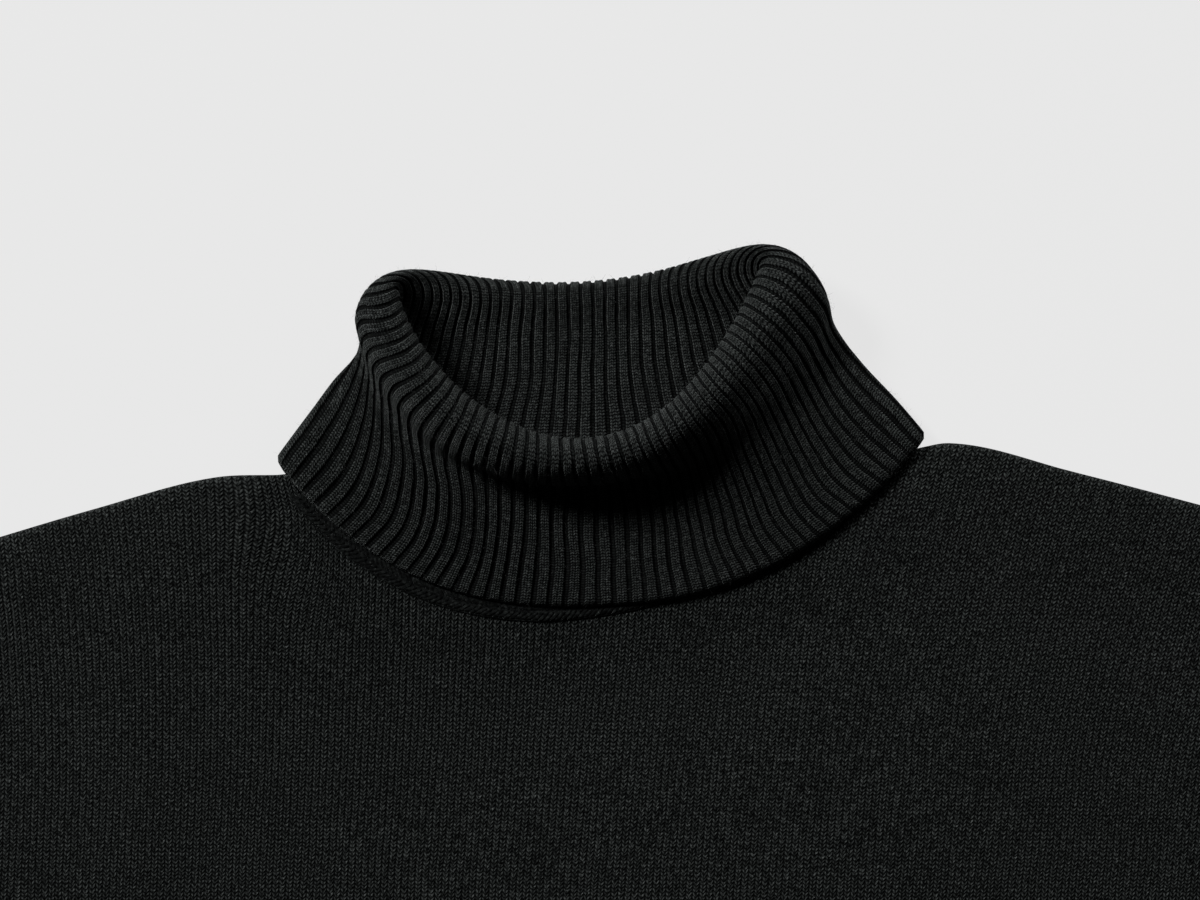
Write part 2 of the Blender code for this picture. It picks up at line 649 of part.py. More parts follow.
def make_sleeve(name, side):
    """One sleeve, from the armhole seam to the cuff seam."""
    top, under, _, _ = sleeve_edges(side)

    def armhole(across, width):
        """The armhole's curve, from the shoulder tip to the underarm."""
        y = np.where(across < width / 2, top[0, 1] - across, UNDERARM_Y + width - across)
        y = np.where(across == width / 2, (top[0, 1] + UNDERARM_Y) / 2, y)
        return np.stack([side * (side_half(y) + GAP), y], axis=1)

    return flat_tube(name, top, under, first_row=armhole)


def rib_edges(top_end, under_end, way, tall, narrow_by):
    """Folded edges of a ribbed end, which draws in from the seam's width."""
    across = (under_end - top_end) / math.dist(top_end, under_end)
    rows = [(GAP, 0.0), (GAP + RIB_PULL_IN, 1.0), (tall, 1.0)]
    starts = np.array([top_end + way * along + across * narrow_by * pull / 2 for along, pull in rows])
    ends = np.array([under_end + way * along - across * narrow_by * pull / 2 for along, pull in rows])
    return starts, ends


def make_cuff(name, side):
    """One ribbed cuff."""
    top, under, way, _ = sleeve_edges(side)
    starts, ends = rib_edges(top[-1], under[-1], way, CUFF_TALL, SLEEVE_END_WIDE - CUFF_WIDE)
    return flat_tube(name, starts, ends, ribs=round(CUFF_WIDE / RIB_PITCH))


def make_hem():
    """The ribbed hem, one band all round."""
    left, right = np.array([-HEM_HALF, HEM_SEAM_Y]), np.array([HEM_HALF, HEM_SEAM_Y])
    narrow_by = 2 * (HEM_HALF - HEM_RIB_HALF)
    starts, ends = rib_edges(left, right, np.array([0.0, -1.0]), HEM_TALL, narrow_by)
    return flat_tube("hem_rib", starts, ends, ribs=round(2 * HEM_RIB_HALF / RIB_PITCH))


def clear_scene():
    for thing in list(bpy.data.objects):
        bpy.data.objects.remove(thing, do_unlink=True)


def main():
    clear_scene()
    bpy.context.scene.collection.children.link(bpy.data.collections.new(NAME))
    make_panel("front_panel", True)
    make_panel("back_panel", False)
    make_collar()
    make_strip()
    for word, side in (("left", -1), ("right", 1)):
        make_sleeve("sleeve_" + word, side)
        make_cuff("cuff_" + word, side)
    make_hem()


main()
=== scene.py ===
"""A black wool turtleneck sweater, laid flat on its back with the ribbed collar folded over.

Lengths are in millimetres until a mesh is made. +X is to the right of someone who looks down on the
front, +Y runs up the body towards the collar, and Z = 0 is the table. Plan sizes are worked out from
the line between the two neck points. The part's own origin is on the chest line, below it.

Every cloth piece is a thin wall with a "knit" UV map: U counts wales (or ribs) across the fabric and
V counts courses along it. The stitches, their colour and their relief all follow that map.
"""

import logging
import math
from dataclasses import dataclass, field
from enum import Enum
from typing import Callable, NamedTuple, Optional, Sequence, Union

import bmesh
import bpy
import numpy as np
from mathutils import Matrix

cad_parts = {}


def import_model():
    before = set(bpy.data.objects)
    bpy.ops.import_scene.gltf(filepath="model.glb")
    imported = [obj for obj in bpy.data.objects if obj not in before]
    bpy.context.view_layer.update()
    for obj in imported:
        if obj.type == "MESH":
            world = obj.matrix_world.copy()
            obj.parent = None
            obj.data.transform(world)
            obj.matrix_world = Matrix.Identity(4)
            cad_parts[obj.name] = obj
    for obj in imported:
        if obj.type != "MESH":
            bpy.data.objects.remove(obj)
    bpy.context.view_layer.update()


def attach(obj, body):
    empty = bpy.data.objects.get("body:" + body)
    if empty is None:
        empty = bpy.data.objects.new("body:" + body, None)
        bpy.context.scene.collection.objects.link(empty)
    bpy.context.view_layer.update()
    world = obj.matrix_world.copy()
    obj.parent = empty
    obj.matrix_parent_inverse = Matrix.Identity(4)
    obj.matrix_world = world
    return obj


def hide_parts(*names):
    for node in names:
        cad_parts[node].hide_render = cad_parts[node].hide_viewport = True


log = logging.getLogger("turtleneck_sweater")

Array = np.ndarray
Numbers = Union[float, Array]
Colour = tuple[float, float, float, float]
Object = bpy.types.Object
Material = bpy.types.Material
Socket = bpy.types.NodeSocket

MM = 0.001
KNIT_UV = "knit"
RIB_PLACE = "rib_place"
RELIEF_SHARE = "relief_share"
SHOULDER_POINTS = 61


class Layer(Enum):
    """Which of the two layers of the flat-laid body a panel is."""

    FRONT = "front"
    BACK = "back"


class Side(Enum):
    """Side of the sweater, as seen from above, and its sign along X."""

    LEFT = -1
    RIGHT = 1


class Stitch(Enum):
    """How a fabric is knitted, which decides the pattern that its finish draws."""

    JERSEY = "jersey"
    RIB = "rib"
    LINKED = "linking"


class Face(Enum):
    """The two faces of a cloth wall."""

    OUTER = 0
    INNER = 1


# ------------------------------------------------------------------------------------ curves


def smoothstep(x: Numbers) -> Array:
    """Rises from 0 at x = 0 to 1 at x = 1 with no corner, and is level outside."""
    x = np.clip(x, 0.0, 1.0)
    return x * x * (3 - 2 * x)


def quarter_round(x: Numbers) -> Array:
    """Rises from 0 at x = 0 to 1 at x = 1 as a quarter circle does, and is level outside."""
    x = np.clip(x, 0.0, 1.0)
    return np.sqrt(1 - (1 - x) ** 2)


def running_total(steps: Array) -> Array:
    """Adds up steps, with 0 before the first."""
    return np.concatenate([[0.0], np.cumsum(steps)])


def step_lengths(points: Array) -> Array:
    """Distances from each row of points to the next."""
    return np.linalg.norm(np.diff(points, axis=0), axis=-1)


def read_line(line: Array, known: Array, at: Array) -> Array:
    """Points on a line, where known holds the places of the points that it is made of."""
    return np.stack([np.interp(at, known, axis) for axis in line.T], axis=1)


def evenly_along(line: Array, shares: Array) -> Array:
    """Points of a dense line, at shares of its length."""
    run = running_total(step_lengths(line))
    return read_line(line, run, shares * run[-1])


def smooth_through(knots: Array, at: Array) -> Array:
    """Curves through rows of points, with no corner at any of them.

    Args:
        knots: The rows of points.
        at: Rows counted from the first: 2.5 is halfway from the third to the fourth.

    Returns:
        A row of points for each place asked for.
    """
    steps = np.diff(knots, axis=0)
    lengths = np.linalg.norm(steps, axis=-1, keepdims=True)
    ways = steps / lengths
    inner = ways[:-1] + ways[1:]
    inner = inner / np.linalg.norm(inner, axis=-1, keepdims=True)
    slopes = np.concatenate([ways[:1], inner, ways[-1:]])
    turning = np.sum(slopes[:-1] * slopes[1:], axis=-1, keepdims=True)
    lengths = lengths * 2 / (1 + np.sqrt((1 + turning) / 2))  # as a circle's arc has it
    at = np.clip(at, 0, len(knots) - 1)
    k = np.minimum(at.astype(int), len(knots) - 2)
    x = (at - k).reshape(at.shape + (1,) * (knots.ndim - 1))
    rest = 1 - x
    return (
        knots[k] * (1 + 2 * x) * rest**2
        + knots[k + 1] * (3 - 2 * x) * x**2
        + lengths[k] * x * rest * (slopes[k] * rest - slopes[k + 1] * x)
    )


class Swell(NamedTuple):
    """A soft round or long hump in something that varies over lying cloth.

    It is height high at its middle, x and y, and spreads along and across itself. Its long direction
    is turned by turn degrees from +X.
    """

    height: float
    x: float
    y: float
    along: float
    across: float
    turn: float

    def over(self, x: Array, y: Array) -> Array:
        """Reads the hump.

        Args:
            x: Plan X of the cloth's points.
            y: Plan Y of the cloth's points.

        Returns:
            Its height at each of them.
        """
        cos, sin = math.cos(math.radians(self.turn)), math.sin(math.radians(self.turn))
        along = (x - self.x) * cos + (y - self.y) * sin
        across = (y - self.y) * cos - (x - self.x) * sin
        return self.height * np.exp(-((along / self.along) ** 2) - (across / self.across) ** 2)


# ------------------------------------------------------------------------------------ cut of the sweater


class Shoulder(NamedTuple):
    """A shoulder edge, as points from the collar out to the armhole."""

    neck_x: float
    neck_y: float
    bend_x: float
    bend_y: float
    middle_x: float
    middle_y: float
    tip_y: float

    def line(self, tip_x: float) -> Array:
        """The edge as a dense line of plan points, from the collar out to the armhole at tip_x."""
        knots = np.array([*self[:-1], tip_x, self.tip_y]).reshape(4, 2)
        return smooth_through(knots, np.linspace(0, 3, SHOULDER_POINTS))


@dataclass(frozen=True)
class Cut:
    """The sweater's cut and the thickness of its cloth, in millimetres."""

    chest_drop: float = 250.0  # from the neck points' line down to the part's origin
    wall: float = 1.8
    gap: float = 0.3
    puff: float = 2.7  # the layers part by this much near a fold
    puff_near: float = 9.0
    puff_far: float = 55.0
    shoulder_half: float = 238.0
    chest_half: float = 275.0
    underarm_y: float = -245.0
    armhole_hook: float = 50.0  # the armhole bends out over this height above the underarm
    hook_power: float = 1.2
    hem_half: float = 245.0
    hem_seam_y: float = -595.0
    back_neck_sag: float = 10.5
    front_neck_clear: float = 0.9
    neck_blend: float = 3.0  # the shoulder edge turns into the neckline over this width
    side_turn_reach: float = 14.0
    strip_lift: float = 2.9  # the front rises over the linking strip
    lift_reach: float = 17.0
    wale: float = 2.55
    course: float = 1.53
    left_shoulder: Shoulder = Shoulder(-119.5, -9.3, -144.0, -10.2, -190.0, -22.2, -36.5)
    right_shoulder: Shoulder = Shoulder(118.5, 0.5, 131.0, 2.6, 178.0, -8.3, -24.0)

    @property
    def edge_radius(self) -> float:
        """Half the height of a folded edge."""
        return (2 * self.wall + self.gap + self.puff) / 2

    def side_half(self, y: Array) -> Array:
        """Half the body's width: armhole, then side seam.

        Args:
            y: Plan heights.

        Returns:
            The half width at each of them.
        """
        hook = (1 - np.clip((y - self.underarm_y) / self.armhole_hook, 0, 1)) ** self.hook_power
        down = np.clip((self.underarm_y - y) / (self.underarm_y - self.hem_seam_y), 0, 1)
        flare = (self.chest_half - self.shoulder_half) * hook
        return self.shoulder_half + flare - (self.chest_half - self.hem_half) * down

    def shoulder_y(self, x: Array) -> Array:
        """Height of the shoulder edge, outside the collar.

        Args:
            x: Plan X of the points.

        Returns:
            The edge's Y at each of them.
        """
        left = self.left_shoulder.line(-self.shoulder_half)
        line = np.concatenate([left[::-1], self.right_shoulder.line(self.shoulder_half)])
        return np.interp(x, line[:, 0], line[:, 1])

    def outside_neck(self, x: Array) -> Array:
        """How far plan X lies outside the neck points, negative between them."""
        return np.maximum(self.left_shoulder.neck_x - x, x - self.right_shoulder.neck_x)

    def top_y(self, x: Array, layer: Layer) -> Array:
        """The upper edge of a panel: shoulder, neckline, shoulder.

        Args:
            x: Plan X of the points.
            layer: Which panel.

        Returns:
            The edge's Y at each of them.
        """
        left, right = self.left_shoulder, self.right_shoulder
        if layer is Layer.FRONT:
            line = Collar.neckline(self.front_neck_clear)
            neck = np.interp(x, line[:, 0], line[:, 1])
        else:
            share = np.clip((x - left.neck_x) / (right.neck_x - left.neck_x), 0, 1)
            neck = left.neck_y + (right.neck_y - left.neck_y) * share
            neck = neck - self.back_neck_sag * 4 * share * (1 - share)
        on_shoulder = smoothstep(self.outside_neck(x) / self.neck_blend + 1.0)
        return neck + (self.shoulder_y(x) - neck) * on_shoulder

    def layer_height(
        self,
        inset: Array,
        turned: Numbers,
        upper: bool,
        face: Face,
        puff_inset: Optional[Array] = None,
        lift: Numbers = 0.0,
    ) -> Array:
        """Height of a lying cloth layer's face, which bends round at a folded edge.

        Args:
            inset: Distance from the layer's folded edge.
            turned: 1 where the edge is folded round to meet the other layer, 0 where it is open.
            upper: True for the layer that lies on the other.
            face: Which face of the layer.
            puff_inset: Distance from the nearest fold that holds the layers apart, if another.
            lift: Least extra height of the upper layer.

        Returns:
            The face's Z at each point.
        """
        outer = face is Face.OUTER
        puff_inset = inset if puff_inset is None else puff_inset
        fade = 1 - smoothstep((puff_inset - self.puff_near) / (self.puff_far - self.puff_near))
        if upper:
            under = np.maximum(self.wall + self.gap + self.puff * fade, self.wall + self.gap + lift)
            meet = self.edge_radius + self.gap / 2
            flat = under + self.wall if outer else under
            edge = meet + self.gap if outer else meet
        else:
            meet = self.edge_radius - self.gap / 2
            flat = np.full_like(inset, 0.0 if outer else self.wall)
            edge = meet - self.gap if outer else meet
        hidden = 0.0 if outer else self.wall
        bend = quarter_round((inset - hidden) / (self.edge_radius - hidden))
        folded = edge + (flat - edge) * bend
        return flat + (folded - flat) * turned


CUT = Cut()


# ------------------------------------------------------------------------------------ meshes


def to_scene(points: Array) -> Array:
    """Moves points from millimetres about the neck points' line to the scene's metres."""
    return (points + np.array([0.0, CUT.chest_drop, 0.0])) * MM


def place_object(name: str, data: bpy.types.ID) -> Object:
    """Makes an object in the scene, at the origin.

    Args:
        name: Its name.
        data: Its mesh, light or camera.

    Returns:
        The object.
    """
    made = bpy.data.objects.new(name, data)
    bpy.context.scene.collection.objects.link(made)
    return made


def repeated_shape(name: str, maker: bmesh.types.BMesh) -> Object:
    """Makes a smooth object that stays out of the scene, for a tree to repeat.

    Args:
        name: Its name.
        maker: Its finished shape, which is freed.

    Returns:
        The object.
    """
    mesh = bpy.data.meshes.new(name)
    maker.to_mesh(mesh)
    maker.free()
    mesh.shade_smooth()
    return bpy.data.objects.new(name, mesh)


class ClothWall:
    """Collects the grids and rims of one closed cloth wall, with its knit UV and relief share."""

    SEAM_JUMP = 20  # a rim face across the knit map's own seam spans more columns than this

    def __init__(self, name: str) -> None:
        """Starts an empty wall.

        Args:
            name: Name of the piece.
        """
        self.name = name
        self.points: list[Array] = []
        self.knit: list[Array] = []
        self.relief: list[Array] = []
        self.faces: list[Array] = []
        self.corners: list[Array] = []
        self.count = 0

    @staticmethod
    def cells(grid: Array) -> Array:
        """The four corners of each cell of a grid, in order round it."""
        return np.stack([grid[:-1, :-1], grid[:-1, 1:], grid[1:, 1:], grid[1:, :-1]], axis=2)

    def grid(self, points: Array, knit: Array, relief: Numbers, closed: bool) -> Array:
        """Adds one face of the wall as a grid.

        Args:
            points: Rows by columns of XYZ, in millimetres from the neck point line.
            knit: Rows by columns of wale and course counts. A closed grid has one column more.
            relief: Share of the stitches' relief at each point.
            closed: True where the last column joins the first.

        Returns:
            The grid's vertex numbers, rows by columns.
        """
        rows, columns = points.shape[:2]
        at = self.count + np.arange(rows * columns).reshape(rows, columns)
        self.count += rows * columns
        self.points.append(to_scene(points).reshape(-1, 3))
        self.knit.append(knit[:, :columns].reshape(-1, 2))
        self.relief.append(np.broadcast_to(relief, (rows, columns)).reshape(-1))
        across = np.hstack([at, at[:, :1]]) if closed else at
        self.faces.append(self.cells(across).reshape(-1, 4))
        self.corners.append(self.cells(knit).reshape(-1, 2))
        return at

    def bridge(self, first: Array, second: Array) -> None:
        """Joins two closed loops that start side by side, by the shorter of the two next edges.

        Args:
            first: Vertex numbers of one loop.
            second: Vertex numbers of the other.
        """
        points = np.concatenate(self.points)
        one, two = np.append(first, first[0]), np.append(second, second[0])
        p, q = points[one], points[two]
        i = j = 0
        made = []
        while i + 1 < len(one) or j + 1 < len(two):
            on_first = j + 1 == len(two)
            if not on_first and i + 1 < len(one):
                on_first = np.sum((p[i + 1] - q[j]) ** 2) < np.sum((p[i] - q[j + 1]) ** 2)
            if on_first:
                made.append((one[i], one[i + 1], two[j]))
                i += 1
            else:
                made.append((one[i], two[j + 1], two[j]))
                j += 1
        self.rim_faces(np.array(made))

    def rim_faces(self, faces: Array) -> None:
        """Adds faces whose corners take their vertices' own knit counts.

        Args:
            faces: Vertex numbers, one row per face.
        """
        self.faces.append(faces)
        uv = np.concatenate(self.knit)[faces]
        jumped = np.abs(uv[:, :, 0] - uv[:, :1, 0]) > self.SEAM_JUMP
        uv[:, :, 0] = np.where(jumped, uv[:, :1, 0], uv[:, :, 0])
        self.corners.append(uv.reshape(-1, 2))

    def ends(self, outer: Array, inner: Array) -> None:
        """Closes both open ends of a tube wall, from its two grids' vertex numbers."""
        for end in (0, -1):
            self.bridge(outer[end], inner[end])

    def rim(self, outer: Array, inner: Array) -> None:
        """Closes all four edges of a sheet wall.

        Args:
            outer: Vertex numbers of the outer face's rows.
            inner: Vertex numbers of the inner face's rows.
        """
        first, second = (
            np.concatenate([at[0], at[1:-1, -1], at[-1, ::-1], at[-2:0:-1, 0]]) for at in (outer, inner)
        )
        self.bridge(first, second)

    def build(self) -> Object:
        """Makes the object, closed and with its faces outwards.

        Returns:
            The cloth piece, at the origin, with no material yet.
        """
        mesh = bpy.data.meshes.new(self.name)
        points = np.concatenate(self.points)
        sizes = np.concatenate([np.full(len(f), f.shape[1]) for f in self.faces])
        corners = np.concatenate([f.reshape(-1) for f in self.faces])
        mesh.vertices.add(len(points))
        mesh.vertices.foreach_set("co", points.astype(np.float32).reshape(-1))
        mesh.loops.add(len(corners))
        mesh.loops.foreach_set("vertex_index", corners.astype(np.int32))
        mesh.polygons.add(len(sizes))
        mesh.polygons.foreach_set("loop_start", running_total(sizes)[:-1].astype(np.int32))
        mesh.update(calc_edges=True)
        uv = mesh.uv_layers.new(name=KNIT_UV)
        uv.data.foreach_set("uv", np.concatenate(self.corners).astype(np.float32).reshape(-1))
        on_points = {
            RIB_PLACE: np.concatenate(self.knit)[:, 0],
            RELIEF_SHARE: np.concatenate(self.relief),
        }
        for name, values in on_points.items():
            attribute = mesh.attributes.new(name, "FLOAT", "POINT")
            attribute.data.foreach_set("value", values.astype(np.float32))
        maker = bmesh.new()
        maker.from_mesh(mesh)
        bmesh.ops.recalc_face_normals(maker, faces=maker.faces)
        maker.to_mesh(mesh)
        maker.free()
        mesh.shade_smooth()
        return place_object(self.name, mesh)


# ------------------------------------------------------------------------------------ node trees


Number = Union["Term", float]


class Term:
    """A number in a node tree, with the usual arithmetic, which adds Math nodes as it is used."""

    def __init__(self, maker: "TreeMaker", socket: Socket) -> None:
        """Wraps a socket that gives a number, and keeps what makes the nodes."""
        self.maker = maker
        self.socket = socket

    def with_node(self, operation: str, *others: Number) -> "Term":
        """A Math node on this number and further inputs."""
        return self.maker.maths(operation, self, *others)

    def __add__(self, other: Number) -> "Term":
        """This plus other."""
        return self.with_node("ADD", other)

    def __sub__(self, other: Number) -> "Term":
        """This less other."""
        return self.with_node("SUBTRACT", other)

    def __mul__(self, other: Number) -> "Term":
        """This times other."""
        return self.with_node("MULTIPLY", other)

    def __truediv__(self, other: Number) -> "Term":
        """This over other."""
        return self.with_node("DIVIDE", other)

    def __radd__(self, other: float) -> "Term":
        """Other plus this."""
        return self.maker.maths("ADD", other, self)

    def __rsub__(self, other: float) -> "Term":
        """Other less this."""
        return self.maker.maths("SUBTRACT", other, self)

    def __rmul__(self, other: float) -> "Term":
        """Other times this."""
        return self.maker.maths("MULTIPLY", other, self)

    def __rtruediv__(self, other: float) -> "Term":
        """Other over this."""
        return self.maker.maths("DIVIDE", other, self)

    def fract(self) -> "Term":
        """What is left above the whole number below."""
        return self.with_node("FRACT")

    def size(self) -> "Term":
        """The number without its sign."""
        return self.with_node("ABSOLUTE")

    def from_floor(self, low: float) -> "Term":
        """Presses 0 to 1 into low to 1."""
        return self * (1 - low) + low

    def least(self, other: Number) -> "Term":
        """The smaller of this and other."""
        return self.with_node("MINIMUM", other)

    def most(self, other: Number) -> "Term":
        """The larger of this and other."""
        return self.with_node("MAXIMUM", other)

    def ramp(self, low: Number, high: Number) -> "Term":
        """Rises smoothly from 0 at low to 1 at high, and is level outside."""
        links = {"Value": self, "From Min": low, "From Max": high}
        ramp = self.maker.node("ShaderNodeMapRange", links, interpolation_type="SMOOTHSTEP")
        return Term(self.maker, ramp)


class TreeMaker:
    """Makes the nodes of one tree."""

    def __init__(self, tree: bpy.types.NodeTree) -> None:
        """Keeps the tree to work on."""
        self.tree = tree

    def node(
        self,
        kind: str,
        links: dict[Union[str, int], object],
        out: Union[str, int] = 0,
        **options: object,
    ) -> Socket:
        """Adds one node.

        Args:
            kind: The node's type.
            links: Its inputs, by name or number: a term, a socket or a list of sockets to link, or a
                value to set.
            out: The output wanted.
            **options: The node's own settings.

        Returns:
            That output socket.
        """
        made = self.tree.nodes.new(kind)
        for option, value in options.items():
            setattr(made, option, value)
        for key, given in links.items():
            for value in given if isinstance(given, list) else [given]:
                value = value.socket if isinstance(value, Term) else value
                if isinstance(value, Socket):
                    self.tree.links.new(value, made.inputs[key])
                else:
                    made.inputs[key].default_value = value
        return made.outputs[out]

    def maths(self, operation: str, *values: Number) -> Term:
        """A Math node, from its operation and its inputs in order."""
        return Term(self, self.node("ShaderNodeMath", dict(enumerate(values)), operation=operation))


class ShapeTree(TreeMaker):
    """A Geometry Nodes tree with named inputs, which ends in Realize Instances and Set Material."""

    def __init__(self, name: str) -> None:
        """Starts a tree with a geometry input and output.

        Args:
            name: Name of the tree.
        """
        super().__init__(bpy.data.node_groups.new(name, "GeometryNodeTree"))
        for way in ("INPUT", "OUTPUT"):
            self.tree.interface.new_socket("Geometry", in_out=way, socket_type="NodeSocketGeometry")
        self.settings: dict[str, Union[float, int]] = {}
        self.source = self.tree.nodes.new("NodeGroupInput")
        self.start = self.source.outputs["Geometry"]

    def size(self, name: str, value: Union[float, int]) -> Term:
        """Adds a named input.

        Args:
            name: The input's name.
            value: Its value on this piece. A whole number makes a whole-number input.

        Returns:
            The number that it gives inside the tree.
        """
        kind = "NodeSocketInt" if isinstance(value, int) else "NodeSocketFloat"
        self.tree.interface.new_socket(name, in_out="INPUT", socket_type=kind)
        self.settings[name] = value
        return Term(self, self.source.outputs[name])

    def attribute(self, name: str) -> Term:
        """A number stored on the points, by its name."""
        links = {"Name": name}
        return Term(self, self.node("GeometryNodeInputNamedAttribute", links, data_type="FLOAT"))

    def scaled(self, vector: Socket, scale: Term) -> Socket:
        """A vector times a number."""
        return self.node("ShaderNodeVectorMath", {0: vector, "Scale": scale}, operation="SCALE")

    def apply(self, piece: Object, result: Socket, material: Material) -> Object:
        """Ends the tree, runs it on a piece, and keeps the outcome as a plain mesh.

        Args:
            piece: The object that the tree works on.
            result: The geometry that the tree makes.
            material: The material of what it makes.

        Returns:
            The same object, with its new mesh and no modifier.
        """
        real = self.node("GeometryNodeRealizeInstances", {0: result})
        dressed = self.node("GeometryNodeSetMaterial", {"Geometry": real, "Material": material})
        end = self.tree.nodes.new("NodeGroupOutput")
        self.tree.links.new(dressed, end.inputs[0])
        modifier = piece.modifiers.new(self.tree.name, "NODES")
        modifier.node_group = self.tree
        for item in self.tree.interface.items_tree:
            if item.in_out == "INPUT" and item.name in self.settings:
                modifier[item.identifier] = self.settings[item.name]
        bpy.context.view_layer.update()
        evaluated = piece.evaluated_get(bpy.context.evaluated_depsgraph_get())
        mesh = bpy.data.meshes.new_from_object(evaluated)
        mesh.name = piece.name
        piece.modifiers.remove(modifier)
        piece.data = mesh
        return piece


@dataclass(frozen=True)
class RibRelief:
    """Raised ribs or wales along the knit's own columns.

    Attributes:
        rise: Height of a rib, in millimetres.
        floor: Half width of the furrow's floor between ribs, as a share of a rib.
        flank: Width of the slope from floor to rib, as a share of a rib.
        crease: Depth of the crease along a rib's middle, as a share of its height.
    """

    rise: float
    floor: float = 0.0
    flank: float = 0.5
    crease: float = 0.0

    CREASE_HALF = 0.13  # half width of the crease, as a share of a rib

    def raise_on(self, piece: Object, material: Material) -> Object:
        """Raises the ribs on a smooth piece.

        Args:
            piece: The piece, with its rib places and relief shares stored on its points.
            material: Its finish.

        Returns:
            The piece, as a plain mesh.
        """
        tree = ShapeTree(piece.name + "_ribs")
        rise = tree.size("Rib Rise", self.rise * MM)
        floor = tree.size("Furrow Floor Half Width", self.floor)
        flank = tree.size("Flank Width", self.flank)
        crease = tree.size("Middle Crease", self.crease)
        from_furrow = tree.attribute(RIB_PLACE).with_node("PINGPONG", 0.5)
        side = from_furrow.ramp(floor, floor + flank)
        groove = (1.0 - (0.5 - from_furrow) / self.CREASE_HALF).most(0.0)
        height = (side - groove * crease) * (rise * tree.attribute(RELIEF_SHARE))
        offset = tree.scaled(tree.node("GeometryNodeInputNormal", {}), height)
        raised = tree.node("GeometryNodeSetPosition", {"Geometry": tree.start, "Offset": offset})
        return tree.apply(piece, raised, material)


# ------------------------------------------------------------------------------------ finishes


class MaterialMaker(TreeMaker):
    """Makes one material round its Principled shader."""

    def __init__(self, name: str) -> None:
        """Starts a material with nothing but the shader.

        Args:
            name: Name of the material.
        """
        self.material = bpy.data.materials.new(name)
        self.material.use_nodes = True
        super().__init__(self.material.node_tree)
        self.shader = self.tree.nodes["Principled BSDF"]

    def knit_places(self) -> tuple[Term, Term]:
        """The wale and course counts of the piece's knit UV map."""
        uv = self.node("ShaderNodeUVMap", {}, uv_map=KNIT_UV)
        return tuple(Term(self, self.node("ShaderNodeSeparateXYZ", {0: uv}, out=axis)) for axis in (0, 1))

    def attribute(self, name: str) -> Term:
        """A number stored on the piece's points."""
        return Term(self, self.node("ShaderNodeAttribute", {}, out="Fac", attribute_name=name))

    def cloud(self, scale: float, detail: float = 2.0) -> Term:
        """Soft noise from 0 to 1 on Object coordinates.

        Args:
            scale: Cells per metre.
            detail: How much finer noise is added.

        Returns:
            The noise.
        """
        at = self.node("ShaderNodeTexCoord", {}, out="Object")
        return Term(self, self.node("ShaderNodeTexNoise", {"Vector": at, "Scale": scale, "Detail": detail}))

    def mix(self, share: Term, first: Union[Socket, Colour], second: Union[Socket, Colour]) -> Socket:
        """A colour between two, the first at share 0 and the second at share 1."""
        return self.node("ShaderNodeMix", {"Factor": share, 6: first, 7: second}, out=2, data_type="RGBA")

    def colour(self, socket: Socket) -> None:
        """Links the base colour."""
        self.tree.links.new(socket, self.shader.inputs["Base Color"])

    def relief(self, height: Term, distance: float) -> None:
        """Bumps the surface by a height of about 0 to 1, where 1 stands for distance in metres."""
        bump = self.node("ShaderNodeBump", {"Height": height, "Distance": distance, "Strength": 1.0})
        self.tree.links.new(bump, self.shader.inputs["Normal"])

    def settings(self, values: dict[str, Union[float, Colour]]) -> None:
        """Sets inputs of the shader, by name."""
        for name, value in values.items():
            self.shader.inputs[name].default_value = value


